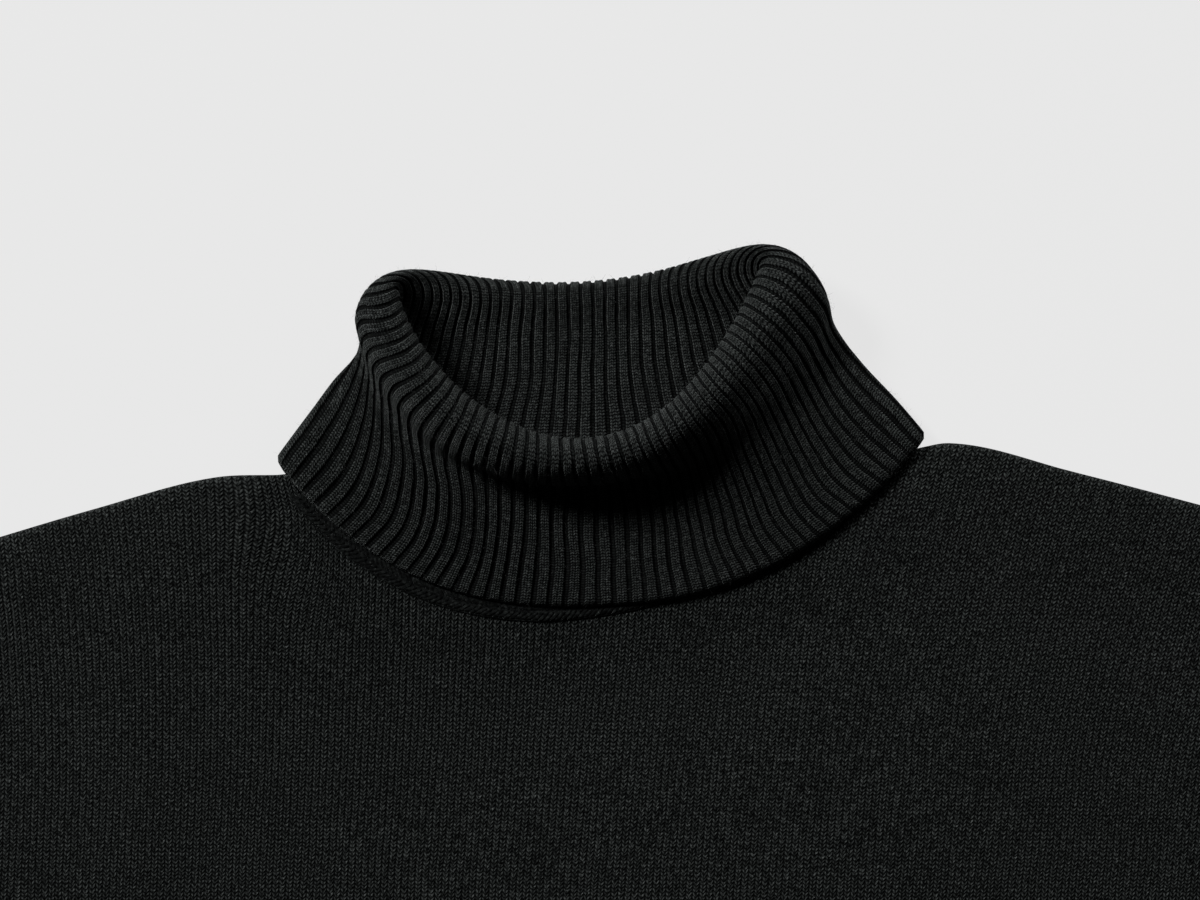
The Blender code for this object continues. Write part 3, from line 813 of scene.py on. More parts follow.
@dataclass(frozen=True)
class BlackWool:
    """Black wool yarn, knitted one way or another, with painted shade in its valleys and between its
    stitches and painted highlights on its loose fibres.

    Noises are given as cells per metre and detail. In a rib, places count from its ridge, 0, to the
    furrow, 1, and in jersey from a wale's middle to its edge.

    Attributes:
        stitch: How the fabric is knitted.
        shade_and_grain_colour: Colour of the painted shade down in the valleys and between the stitches,
            which the random grain and patches also darken towards.
        yarn: Colour of the yarn.
        fibre_highlight: Painted highlight on the loose fibres on top of the stitches, where they catch the
            light.
        stitch_depth: Depth of the stitch pattern, in millimetres.
        rib_face: Share of a rib that its two raised wales take.
        fuzz: Weight of the soft sheen that loose fibres give.
        fuzz_spread: Its roughness. A low one keeps it at the rims.
    """

    stitch: Stitch
    shade_and_grain_colour: Colour = (0.0006, 0.0007, 0.0007, 1.0)
    yarn: Colour = (0.031, 0.0348, 0.0335, 1.0)
    fibre_highlight: Colour = (0.075, 0.081, 0.079, 1.0)
    stitch_depth: float = 0.75
    rib_face: float = 0.68
    fuzz: float = 0.11
    fuzz_spread: float = 0.2

    WALE_WANDER = (70.0, 0.35)  # cells per metre, and how many wales it moves them
    COURSE_WANDER = (110.0, 1.6)  # the same for courses
    SLANT = {Stitch.RIB: 0.45, Stitch.JERSEY: 0.85}  # what a stitch's legs rise outwards, in courses
    LEG_ENDS = {Stitch.RIB: 0.16, Stitch.JERSEY: 0.2}  # how far the valleys cut in at the legs' ends
    # The valley masks darken the colour as painted shade and also lower the bump: a rib's furrow from its
    # flank, less on its floor, and the valley between jersey wales.
    RIB_FLANK = (0.62, 0.76)
    RIB_FLOOR = (0.76, 0.88)
    FLOOR_YARN = (0.25, 0.45)  # how far a furrow's floor comes out of the dark, and its least strand
    JERSEY_EDGE = (0.65, 1.1)
    JERSEY_VALLEY = 0.75
    TANGLE = (500.0, 700.0, 400.0)  # cells per metre of the linking yarn's legs, strands and valleys
    TANGLE_VALLEY = 0.2
    FIBRE = (2600.0, 3.0)
    SPECK = (900.0, 2.0)
    PATCH = (45.0, 3.0)
    PATCH_TONE = (0.6, 0.7)  # gain of the patches, and the tone of the darkest
    RIB_GRAIN = (2.7, 0.5)  # gain of the specks, and what is then taken off
    GRAIN = (3.2, 0.9)
    FIBRE_HIGHLIGHT_FROM = (1.05, 1.5)  # only the brightest sums of fibre and speck are lit
    VALLEY_SHADE = 0.95
    # Painted shade of the stitches: a leg's gain, and how dark a leg gets at its ends and a strand at its
    # sides, where the yarn turns away from the light.
    LEG_GAIN = 1.15
    LEG_DARKEST = 0.05
    STRAND_DARKEST = 0.2
    HEIGHTS = (0.55, 0.3, 0.5, 0.8)  # of strand, leg and fibre, and how deep the valleys are

    def legs(self, along: Term, from_middle: Term) -> Term:
        """The stitches' legs: 1 along a leg's middle, 0 where the next stitch begins."""
        loop = (along - from_middle * self.SLANT[self.stitch]).fract() * 2 - 1
        return 1 - loop * loop

    def jersey(self, across: Term, along: Term) -> tuple[Term, Term, Term]:
        """The pattern of stocking stitch.

        Args:
            across: Wale count.
            along: Course count.

        Returns:
            Leg and strand, 1 at the middle of each, and valley, 1 between the wales.
        """
        from_middle = (across.fract() - 0.5).size() * 2
        leg = self.legs(along, from_middle)
        edge = (from_middle + (1 - leg) * self.LEG_ENDS[Stitch.JERSEY]).ramp(*self.JERSEY_EDGE)
        strand = from_middle * 2 - 1
        return leg, 1 - strand * strand, edge * self.JERSEY_VALLEY

    def rib(self, maker: MaterialMaker, across: Term, along: Term) -> tuple[Term, Term, Term]:
        """The pattern of a rib, whose face has two wales.

        Args:
            maker: The material's maker.
            across: Rib count.
            along: Course count.

        Returns:
            Leg, strand and valley, as in jersey.
        """
        place = across.fract() - 0.5
        inside = (place / self.rib_face + 0.5).most(0.0).least(1.0)
        from_middle = ((inside * 2).fract() - 0.5).size() * 2
        leg = self.legs(along, from_middle)
        from_ridge = place.size() * 2
        flank = (from_ridge + (1 - leg) * self.LEG_ENDS[Stitch.RIB]).ramp(*self.RIB_FLANK)
        floor = from_ridge.ramp(*self.RIB_FLOOR)
        floor_clear, floor_strand = self.FLOOR_YARN
        valley = flank * (1 - floor * floor_clear) * maker.attribute(RELIEF_SHARE)
        strand = from_middle * 2 - 1
        return leg, (1 - strand * strand).most(floor * floor_strand), valley

    def make(self) -> Material:
        """Makes the material.

        Returns:
            A material that follows the piece's knit UV map.
        """
        maker = MaterialMaker("black_wool_" + self.stitch.value)
        across, along = maker.knit_places()
        across = across + (maker.cloud(self.WALE_WANDER[0]) - 0.5) * self.WALE_WANDER[1]
        along = along + (maker.cloud(self.COURSE_WANDER[0]) - 0.5) * self.COURSE_WANDER[1]
        gain, taken = self.GRAIN
        if self.stitch is Stitch.RIB:
            leg, strand, valley = self.rib(maker, across, along)
            gain, taken = self.RIB_GRAIN
        elif self.stitch is Stitch.JERSEY:
            leg, strand, valley = self.jersey(across, along)
        else:
            leg, strand, valley = (maker.cloud(scale) for scale in self.TANGLE)
            valley = valley * self.TANGLE_VALLEY
        fibre, speck, patch = (maker.cloud(*noise) for noise in (self.FIBRE, self.SPECK, self.PATCH))
        # Painted shade: the colour darkens down in the valleys, as if they lay in shadow.
        unshaded = 1 - valley * self.VALLEY_SHADE
        strand_high, leg_high, fibre_high, valley_deep = self.HEIGHTS
        height = leg * (strand * strand_high + leg_high) + (fibre - 0.5) * fibre_high
        height = height * (1 - valley * valley_deep)
        grain = (speck * gain - taken).most(0.0)
        # The stitches are drawn as painted shade: legs darken towards their ends and strands towards their
        # sides, besides the valleys; the grain and patches are random tone.
        bright = (leg * leg * self.LEG_GAIN).from_floor(self.LEG_DARKEST)
        tone = bright * strand.from_floor(self.STRAND_DARKEST) * unshaded * grain
        tone = tone * (patch * self.PATCH_TONE[0] + self.PATCH_TONE[1])
        colour = maker.mix(tone, self.shade_and_grain_colour, self.yarn)
        # Painted highlight: the brightest fibres and specks on the raised yarn are lifted to a lighter
        # colour, and none in the painted shade of the valleys.
        fibre_highlight = ((fibre + speck) * unshaded).ramp(*self.FIBRE_HIGHLIGHT_FROM)
        maker.colour(maker.mix(fibre_highlight, colour, self.fibre_highlight))
        maker.relief(height, self.stitch_depth * MM)
        maker.settings(
            {
                "Roughness": 0.95,
                "Specular IOR Level": 0.03,
                "Sheen Weight": self.fuzz,
                "Sheen Roughness": self.fuzz_spread,
                "Sheen Tint": (0.5, 0.54, 0.53, 1.0),
            }
        )
        return maker.material


@dataclass(frozen=True)
class FibreFinish:
    """A single wool fibre, which catches more light than the yarn below."""

    dark: Colour = (0.012, 0.013, 0.013, 1.0)
    light: Colour = (0.03, 0.033, 0.032, 1.0)
    cells_per_metre: float = 300.0
    roughness: float = 0.7

    def make(self) -> Material:
        """Makes the material.

        Returns:
            The material.
        """
        maker = MaterialMaker("loose_wool_fibre")
        maker.colour(maker.mix(maker.cloud(self.cells_per_metre), self.dark, self.light))
        maker.settings({"Roughness": self.roughness})
        return maker.material


@dataclass(frozen=True)
class PaleTable:
    """The pale table, which shines a little by itself so that it is evenly light."""

    dark: Colour = (0.04, 0.04, 0.04, 1.0)
    light: Colour = (0.045, 0.045, 0.045, 1.0)
    cells_per_metre: float = 4.0
    roughness: float = 0.9
    specular: float = 0.1
    glow: float = 0.752

    def make(self) -> Material:
        """Makes the material.

        Returns:
            The material.
        """
        maker = MaterialMaker("pale_table")
        maker.colour(maker.mix(maker.cloud(self.cells_per_metre), self.dark, self.light))
        maker.settings({"Roughness": self.roughness, "Specular IOR Level": self.specular})
        maker.settings({"Emission Color": (1.0, 1.0, 1.0, 1.0), "Emission Strength": self.glow})
        return maker.material


# ------------------------------------------------------------------------------------ collar


class Run(NamedTuple):
    """Where a ring runs: its two side points, and how far it bows out between them.

    It bows by front towards the hem and by back the other way, less dip. round is 1 on the roll and 0
    where the cloth lies flat. The heights are at the sides and at the middles of front and back.
    """

    ring: str
    left_x: float
    left_y: float
    right_x: float
    right_y: float
    front: float
    back: float
    dip: float
    round: float
    z_side: float
    z_front: float
    z_back: float


class Bend(NamedTuple):
    """How the front half of a ring bends.

    A higher power makes it squarer, and a higher corner draws it in towards its side point. skew is
    how far its lowest point lies left of its middle. The lifts raise it between middle and sides.
    """

    power: float
    left_corner: float
    right_corner: float
    skew: float
    left_lift: float
    right_lift: float


class RibSpread(NamedTuple):
    """Where the ribs lie along a ring.

    middle_x is where the front's middle rib lies. The pitches are a rib's width there and at the
    back's middle rib, and the bulges are how much the front's ribs crowd towards the middle, from the
    left and the right. left_twist is how many ribs they turn by at the roll's left.
    """

    middle_x: float
    front_pitch: float
    left_bulge: float
    right_bulge: float
    back_pitch: float
    left_twist: float


class Ring(NamedTuple):
    """One ring round the collar's show face."""

    run: Run
    bend: Bend
    spread: RibSpread


@dataclass
class Collar:
    """The ribbed collar, one tube of cloth folded over once to the outside.

    Attributes:
        relief: Its raised ribs.
        places: Where the mesh points of the show face lie across a rib, from furrow to furrow.
        rows: Mesh rows between seam and free edge, on the show face.
        plain_rows: Mesh rows on the plain face inside the fold.
        course: Height of one course of stitches.
        crest_row: The row at the top of the roll, counted in rings from the seam.
        fold_thinning: How much thinner the wall is there.
        stray: How far a rib strays from its even place, as a share of a rib.
    """

    relief: RibRelief = RibRelief(0.8, 0.11, 0.09, 0.2)
    places: tuple[float, ...] = (0.0, 0.1, 0.16, 0.22, 0.36, 0.5, 0.64, 0.78, 0.84, 0.9)
    rows: int = 92
    plain_rows: int = 50
    course: float = 1.125
    crest_row: float = 5.0
    fold_thinning: float = 0.65
    stray: float = 0.025

    RUNS = (
        Run("seam", -116.5, -8.5, 111.5, 1.5, 55.5, -13.0, 0.0, 0.0, 4.8, 5.1, 3.9),
        Run("inner_low", -107.0, 6.3, 106.0, 14.5, 46.0, -5.0, 0.0, 0.0, 4.7, 5.2, 3.9),
        Run("inner_middle", -95.5, 21.9, 93.0, 28.0, 39.0, 2.0, 0.0, 0.15, 4.8, 6.5, 3.9),
        Run("under_roll", -82.0, 42.0, 73.0, 51.0, 46.0, 1.0, 0.0, 0.6, 9.0, 14.0, 4.6),
        Run("roll_inside", -76.0, 60.0, 60.5, 69.0, 60.8, 5.0, 9.7, 1.0, 19.0, 27.0, 6.0),
        Run("crest", -82.0, 57.0, 72.0, 68.0, 64.6, 13.5, 13.4, 1.0, 28.5, 40.0, 3.3),
        Run("roll_outside", -90.0, 51.0, 83.5, 57.0, 66.0, 16.0, 8.5, 1.0, 23.0, 28.0, 0.5),
        Run("tuck", -89.5, 39.0, 87.5, 46.0, 55.0, 3.0, 0.0, 0.2, 11.0, 12.0, 0.0),
        Run("outer_middle", -100.0, 25.0, 98.5, 31.5, 56.0, 0.0, 0.0, 0.15, 6.5, 10.6, 0.0),
        Run("outer_low", -111.5, 9.4, 111.0, 18.0, 58.0, -6.0, 0.0, 0.0, 5.2, 10.3, 0.0),
        Run("free_edge", -121.5, -3.7, 122.2, 4.9, 58.9, -12.6, 0.0, 0.0, 5.2, 10.3, 0.0),
    )
    BENDS = (
        Bend(2.4, 0.86, 0.86, -6.0, 0.0, 0.0),
        Bend(2.4, 0.86, 0.86, -6.0, 0.0, 0.0),
        Bend(2.3, 0.8, 0.85, -5.0, 0.0, 0.0),
        Bend(2.2, 0.75, 0.85, -3.0, 0.0, 0.0),
        Bend(2.0, 0.66, 0.89, -1.2, 0.0, 0.0),
        Bend(2.4, 0.74, 1.25, -5.9, 0.0, 0.0),
        Bend(2.2, 0.74, 0.96, -7.0, 4.0, 4.0),
        Bend(2.4, 0.6, 0.6, -5.5, 6.0, 10.0),
        Bend(2.4, 0.8, 0.75, -4.0, 5.5, 6.0),
        Bend(2.45, 0.88, 0.88, -4.0, 2.5, 2.5),
        Bend(2.45, 0.91, 0.96, -4.1, 0.0, 0.0),
    )
    SPREADS = (
        RibSpread(-3.8, 5.5, 0.0, 0.0, 5.9, 0.0),
        RibSpread(-4.5, 5.0, 0.0, 0.0, 5.5, 0.0),
        RibSpread(-5.5, 4.7, 0.0, 0.0, 4.65, 0.0),
        RibSpread(-7.0, 4.4, 0.0, 0.1, 4.6, 0.0),
        RibSpread(-8.3, 4.3, 0.1, 0.35, 4.6, 0.0),
        RibSpread(-7.5, 4.6, 0.15, 0.45, 4.6, 0.4),
        RibSpread(-6.0, 5.2, 0.33, 0.47, 4.8, 1.7),
        RibSpread(-4.5, 5.4, 0.28, 0.57, 5.0, 1.6),
        RibSpread(-4.0, 5.8, 0.5, 0.53, 5.2, 0.7),
        RibSpread(-3.8, 6.0, 0.42, 0.4, 5.3, 0.2),
        RibSpread(-3.8, 6.15, 0.05, 0.05, 5.4, 0.0),
    )
    RINGS = tuple(map(Ring, RUNS, BENDS, SPREADS))

    RIBS = 88
    FRONT_RIB = 22.5  # the ribs at the front's middle, at the right side point and at the back's middle
    RIGHT_RIB = 50.5
    BACK_RIB = 69.25
    BACK_MIDDLE_X = -3.8
    SIDE_RISE = 5.2  # a flat ring reaches its full height this far from its side points
    ROLL_RISE_FRONT = 75.0  # and the roll this much further
    ROLL_RISE_BACK = 42.0
    BACK_CORNER_POWER = 8.0  # how square the back of the roll is, and how much less so a flat ring's
    FLAT_POWER_LESS = 6.0
    DIP_POWER = 1.3
    LIFT_GAIN = 27 / 4  # makes the lifts' curve 1 high at its highest
    TWIST_RIB = 5.5  # the turned ribs' middle one, and how many to each side turn with it
    TWIST_REACH = 8.0
    STRAY_TURNS = np.array([7, 11, 17])  # waves round the collar, and what they move on by from ring to ring
    STRAY_PHASES = np.array([2.4, 3.9, 5.2])
    ALONG_RING = 401  # points of a dense half ring
    DENSE_ROWS = 401  # rows and ribs from which the cloth's length is measured
    MEASURED_RIBS = 16
    HALF_STEP = 0.05  # rows from which a normal is taken
    EDGE_ROUND = 0.9  # both edges are rounded off by this much over EDGE_REACH
    EDGE_REACH = 1.6
    FACE_DOWN = -0.75  # cloth whose normal has a lower Z than this faces down, and has no ribs
    FACE_DOWN_FADE = 0.55  # above it they come up over this much
    EDGE_BARE = 0.5  # the ribs begin this far from the free edge, and come up over EDGE_FADE
    EDGE_FADE = 1.8

    @classmethod
    def half_ring(cls, ring: Ring, front: bool) -> Array:
        """A dense line along a ring's front or back half.

        Args:
            ring: The ring.
            front: True for the half towards the hem.

        Returns:
            Points from the ring's left side point to its right one.
        """
        run, bend = ring.run, ring.bend
        t = np.sin(np.linspace(-math.pi / 2, math.pi / 2, cls.ALONG_RING))
        across_x, across_y = run.right_x - run.left_x, run.right_y - run.left_y
        half = math.hypot(across_x, across_y) / 2
        cos, sin = across_x / half / 2, across_y / half / 2
        if front:
            corner = bend.left_corner + (bend.right_corner - bend.left_corner) * (t + 1) / 2
            along = half * t + bend.skew * (1 - t**2)
            reach = -run.front * (1 - np.abs(t) ** bend.power) ** corner
            z_far, turn = run.z_front, cls.SIDE_RISE + cls.ROLL_RISE_FRONT * run.round
            lift = np.where(t < 0, bend.left_lift, bend.right_lift) * cls.LIFT_GAIN * t**2 * (1 - np.abs(t))
        else:
            flat = 1 - run.round
            power = cls.BACK_CORNER_POWER - cls.FLAT_POWER_LESS * flat
            along = half * t
            reach = run.back * (1 - np.abs(t) ** power) ** (0.5 + 0.5 * flat)
            reach = reach - run.dip * (1 - t**2) ** cls.DIP_POWER
            z_far, turn = run.z_back, cls.SIDE_RISE + cls.ROLL_RISE_BACK * run.round
            lift = 0.0
        x = (run.left_x + run.right_x) / 2 + along * cos - reach * sin
        y = (run.left_y + run.right_y) / 2 + along * sin + reach * cos
        length = running_total(np.hypot(np.diff(x), np.diff(y)))
        from_side = np.minimum(length, length[-1] - length)
        rise = np.sin(np.clip(from_side / turn, 0, 1) * math.pi / 2) ** (0.5 + 0.5 * run.round)
        return np.stack([x, y, run.z_side + (z_far - run.z_side) * rise + lift], axis=1)

    @staticmethod
    def spread_ribs(
        line: Array,
        ribs: Array,
        middle_x: float,
        ends: tuple[float, float],
        pitch: float,
        bulges: tuple[float, float],
    ) -> Array:
        """Points along half a ring by ribs, with a set pitch at its middle.

        Args:
            line: The dense line from left to right.
            ribs: Ribs from the middle, negative to the left.
            middle_x: X of the middle.
            ends: Ribs from the middle to the left end and to the right one.
            pitch: Width of a rib at the middle.
            bulges: How much the ribs crowd towards the middle, on the left and on the right.

        Returns:
            The points.
        """
        run = running_total(step_lengths(line))
        middle = np.interp(middle_x, line[:, 0], run)
        at = np.full(len(ribs), middle)
        for sign, count, length, bulge in zip((-1, 1), ends, (middle, run[-1] - middle), bulges):
            share = np.clip(sign * ribs / count, 0, 1)
            wide = pitch * count / length - 1
            at = at + sign * length * (share + share * (1 - share) * (wide - bulge * share))
        return read_line(line, run, at)

    @classmethod
    def ring_points(cls, ring: Ring, around: Array) -> Array:
        """Points of a ring by shares of its ribs.

        Args:
            ring: The ring.
            around: Shares from the left side round, with the front first.

        Returns:
            The points.
        """
        spread = ring.spread
        rib = around * cls.RIBS % cls.RIBS
        from_twist = (rib - cls.TWIST_RIB + cls.RIBS / 2) % cls.RIBS - cls.RIBS / 2
        rib = (rib - spread.left_twist * np.exp(-((from_twist / cls.TWIST_REACH) ** 2))) % cls.RIBS
        ends = (cls.FRONT_RIB, cls.RIGHT_RIB - cls.FRONT_RIB)
        bulges = (spread.left_bulge, spread.right_bulge)
        line, pitch = cls.half_ring(ring, True), spread.front_pitch
        front = cls.spread_ribs(line, rib - cls.FRONT_RIB, spread.middle_x, ends, pitch, bulges)
        ends = (cls.RIBS - cls.BACK_RIB, cls.BACK_RIB - cls.RIGHT_RIB)
        line, pitch = cls.half_ring(ring, False), spread.back_pitch
        back = cls.spread_ribs(line, cls.BACK_RIB - rib, cls.BACK_MIDDLE_X, ends, pitch, (0, 0))
        return np.where((rib < cls.RIGHT_RIB)[:, None], front, back)

    @classmethod
    def neckline(cls, outward: float) -> Array:
        """The seam's front half in plan, moved out from the neck.

        Args:
            outward: How far out it is moved.

        Returns:
            A dense line of plan points, from left to right.
        """
        line = cls.half_ring(cls.RINGS[0], True)[:, :2]
        way = np.gradient(line, axis=0)
        out = np.stack([way[:, 1], -way[:, 0]], axis=1)
        return line + outward * out / np.linalg.norm(out, axis=1, keepdims=True)

    def strayed(self, ring: int, around: Array) -> Array:
        """Moves shares round a ring a little, since ribs aren't quite even.

        Args:
            ring: The ring's number.
            around: Shares round the ring.

        Returns:
            The shares where the ribs are.
        """
        waves = np.sin(2 * math.pi * around[:, None] * self.STRAY_TURNS + ring * self.STRAY_PHASES)
        return around + waves.sum(axis=1) * self.stray / self.RIBS

    def face(self, rows: Array, around: Array) -> tuple[Array, Array]:
        """The smooth show face and its outward normals.

        Args:
            rows: Rows wanted, counted in rings from the seam.
            around: Shares round the ring.

        Returns:
            Points and normals, each as rows by points by XYZ.
        """
        rings = enumerate(self.RINGS)
        guides = np.stack([self.ring_points(ring, self.strayed(k, around)) for k, ring in rings])
        points = smooth_through(guides, rows)
        points[..., 2] = np.maximum(points[..., 2], 0.0)
        below = smooth_through(guides, rows + self.HALF_STEP)
        down = below - smooth_through(guides, rows - self.HALF_STEP)
        ahead = np.roll(points, -1, axis=1) - points
        ahead = ahead / np.linalg.norm(ahead, axis=2, keepdims=True)
        normals = np.cross(down, ahead + np.roll(ahead, 1, axis=1))
        return points, normals / np.linalg.norm(normals, axis=2, keepdims=True)

    def row_places(self, count: int) -> Array:
        """Rows spread evenly along the cloth, by its mean length.

        Args:
            count: How many rows.

        Returns:
            Their places, counted in rings from the seam.
        """
        dense = np.linspace(0, len(self.RINGS) - 1, self.DENSE_ROWS)
        points, _ = self.face(dense, np.arange(self.MEASURED_RIBS) / self.MEASURED_RIBS)
        run = running_total(step_lengths(points).mean(axis=1))
        return np.interp(np.linspace(0, run[-1], count), run, dense)

    def build(self, material: Material) -> Object:
        """Builds the collar.

        Args:
            material: Its finish.

        Returns:
            The collar as one closed wall.
        """
        ribs = (np.arange(self.RIBS)[:, None] + np.array(self.places)).reshape(-1)
        rows = self.row_places(self.rows)
        points, normals = self.face(rows, ribs / self.RIBS)
        course = running_total(step_lengths(points).mean(axis=1)) / self.course
        to_free_edge = (course[-1] - course) * self.course
        from_edge = np.minimum(course[-1] - course, course) * self.course
        soft_edge = self.EDGE_ROUND * (1 - quarter_round(from_edge / self.EDGE_REACH))
        points = points - normals * soft_edge[:, None, None]
        shown = smoothstep((normals[..., 2] - self.FACE_DOWN) / self.FACE_DOWN_FADE)
        shown = shown * smoothstep((to_free_edge - self.EDGE_BARE) / self.EDGE_FADE)[:, None]
        wall = ClothWall("rollneck")
        knit = np.stack(np.meshgrid(np.append(ribs, self.RIBS), course), axis=2)
        outer = wall.grid(points, knit, shown, True)
        plain_ribs = np.arange(2 * self.RIBS + 1) / 2
        plain_rows = self.row_places(self.plain_rows)
        base, ways = self.face(plain_rows, plain_ribs[:-1] / self.RIBS)
        thick = CUT.wall - self.fold_thinning * np.exp(-((plain_rows - self.crest_row) ** 2))
        plain_knit = np.stack(np.meshgrid(plain_ribs, np.interp(plain_rows, rows, course)), axis=2)
        inner = wall.grid(base - ways * thick[:, None, None], plain_knit, 0.0, True)
        wall.ends(outer, inner)
        return self.relief.raise_on(wall.build(), material)


# ------------------------------------------------------------------------------------ body


@dataclass
class BodyPanel:
    """The front or the back of the body, in stocking stitch.

    Attributes:
        layer: Which panel.
        points_per_wale: Mesh points across a wale, where it is fine enough to show.
        plain_step: Every how many columns the plain face inside has one.
        rows_near_top: Mesh rows that follow the shoulders and the neckline.
        rows_below: Straight mesh rows below them.
        relief: The front's raised wales.
    """

    layer: Layer
    points_per_wale: int = 6
    plain_step: int = 12
    rows_near_top: int = 44
    rows_below: int = 26
    relief: RibRelief = RibRelief(0.28)

    FINE_HALF = 228.8  # wales are true ridges out to here
    EDGE_COLUMNS = 30  # on either side, from the edge in to there
    SIDE_SHARES = (0.0, 0.3, 0.9, 1.8, 3.3, 5.5)  # percent of the way in, where the cloth bends round
    SIDE_EVEN_FROM = 8  # and from here on even steps
    TOP_DEPTHS = (0.0, 0.25, 0.7, 1.2, 1.8, 2.5, 3.3, 4.5, 6.0)  # the same down from the top, in mm
    TOP_EVEN_FROM = 8.0
    DEEPEST = 110.0
    HOOK_ROWS = (1.0, 0.8, 0.6, 0.4, 0.2, 0.1, 0.0)  # shares of the armhole's hook
    TURN_ROWS = (0.25, 0.5, 0.75, 1.0)  # shares of the side's turn below the underarm
    BELOW_TURN = 12.0
    LEAN_FROM = -154.0  # the wales fan out above this height
    LEAN = 0.085  # sideways run of the middle wale per length, up the body
    FAN = 0.025  # what the wale at FAN_HALF leans more, and what it gains per length above
    FAN_GAIN = 0.0014
    FAN_HALF = 200.0
    STRAIGHTENING = 60.0  # the lean fades over this length below
    DRAWN = Swell(7.0, -116.0, -28.0, 30.0, 18.0, -60.0)  # the wales are drawn aside by the collar
    SWELLS = (
        Swell(0.9, -40.0, -150.0, 150.0, 50.0, 8.0),
        Swell(0.8, 120.0, -110.0, 60.0, 110.0, 12.0),
        Swell(1.5, -160.0, -58.0, 40.0, 17.0, 18.0),
        Swell(1.6, -131.5, -24.0, 5.0, 17.0, 8.0),
        Swell(1.0, -110.0, -46.0, 24.0, 7.0, -48.0),
        Swell(1.6, -216.0, -62.0, 9.0, 24.0, 10.0),
    )
    CALM_REACH = 8.0  # the swells fade out this near to an edge
    SIDE_FADE = 20.0  # the raised wales fade out this near to a side
    TOP_BARE = 0.2  # they begin this far below the top, and come up over TOP_FADE
    TOP_FADE = 3.0
    NEAR_NECK = (190.0, -130.0)  # only cloth within this X and above this Y can lie on the strip
    NECK_STEP = 8  # every how many of the neckline's points the distance to it is taken

    def columns(self, half: Array) -> Array:
        """Column places across each row.

        Args:
            half: Half width of each row on each side, as rows by 2.

        Returns:
            X of each mesh point, as rows by columns.
        """
        step = CUT.wale / self.points_per_wale
        fine = np.arange(-self.FINE_HALF, self.FINE_HALF + step / 2, step)
        even = np.linspace(self.SIDE_EVEN_FROM, 100, self.EDGE_COLUMNS - len(self.SIDE_SHARES))
        share = np.concatenate([self.SIDE_SHARES, even]) / 100
        left = -half[:, :1] + (half[:, :1] - self.FINE_HALF) * share[None, :-1]
        right = half[:, 1:] - (half[:, 1:] - self.FINE_HALF) * share[None, -2::-1]
        return np.hstack([left, np.broadcast_to(fine, (len(half), len(fine))), right])

    def plan(self) -> Array:
        """Plan positions of the mesh.

        Returns:
            X and Y, as rows by columns by 2.
        """
        tip = np.array([CUT.left_shoulder.tip_y, CUT.right_shoulder.tip_y])
        even = np.linspace(self.TOP_EVEN_FROM, self.DEEPEST, self.rows_near_top - len(self.TOP_DEPTHS))
        depths = np.concatenate([self.TOP_DEPTHS, even])
        hook = CUT.underarm_y + CUT.armhole_hook * np.array(self.HOOK_ROWS)
        turn = CUT.underarm_y - CUT.side_turn_reach * np.array(self.TURN_ROWS)
        rest = self.rows_below - len(hook) - len(turn)
        levels = np.concatenate([hook, turn, np.linspace(turn[-1] - self.BELOW_TURN, CUT.hem_seam_y, rest)])
        upper_half = CUT.side_half(tip[None, :] - depths[:, None])
        lower_half = np.repeat(CUT.side_half(levels)[:, None], 2, axis=1)
        x = self.columns(np.vstack([upper_half, lower_half]))
        upper = CUT.top_y(x[: len(depths)], self.layer) - depths[:, None]
        lower = np.broadcast_to(levels[:, None], (len(levels), x.shape[1]))
        return np.dstack([x, np.vstack([upper, lower])])

    def inset(self, plan: Array) -> tuple[Array, Array]:
        """Distances of plan positions down from the panel's upper edge and in from its side."""
        x, y = plan[..., 0], plan[..., 1]
        return CUT.top_y(x, self.layer) - y, CUT.side_half(y) - np.abs(x)

    def strip_lift(self, plan: Array) -> Array:
        """How far the linking strip below raises the panel.

        Args:
            plan: Plan positions.

        Returns:
            The extra height at each of them.
        """
        neck = Collar.neckline(CUT.gap)[:: self.NECK_STEP]
        half, low = self.NEAR_NECK
        close = (np.abs(plan[..., 0]) < half) & (plan[..., 1] > low)
        nearest = np.full(plan.shape[:2], np.inf)
        nearest[close] = np.min(np.linalg.norm(plan[close][:, None, :] - neck[None], axis=2), axis=1)
        return CUT.strip_lift * np.exp(-((nearest / CUT.lift_reach) ** 2))

    def height(self, plan: Array, face: Face) -> Array:
        """Height of one face of the panel.

        Args:
            plan: Plan positions.
            face: Which face.

        Returns:
            Z at each of them.
        """
        x, y = plan[..., 0], plan[..., 1]
        from_top, from_side = self.inset(plan)
        beside = CUT.outside_neck(x)
        near_top = from_top < CUT.puff_far
        on_shoulder = smoothstep(beside / CUT.neck_blend + 1.0)
        below_arm = smoothstep((CUT.underarm_y - y) / CUT.side_turn_reach)
        turned = np.where(near_top, on_shoulder, below_arm)
        to_shoulder = np.hypot(from_top, np.maximum(0.0, -beside))
        to_side = np.hypot(from_side, np.maximum(0.0, y - CUT.underarm_y))
        nearest_fold = np.minimum(to_shoulder, to_side)
        inset = np.where(near_top, from_top, from_side)
        if self.layer is Layer.BACK:
            return CUT.layer_height(inset, turned, False, face, nearest_fold)
        z = CUT.layer_height(inset, turned, True, face, nearest_fold, self.strip_lift(plan))
        swell = sum(hump.over(x, y) for hump in self.SWELLS)
        return z + swell * smoothstep(np.minimum(from_top, from_side) / self.CALM_REACH)

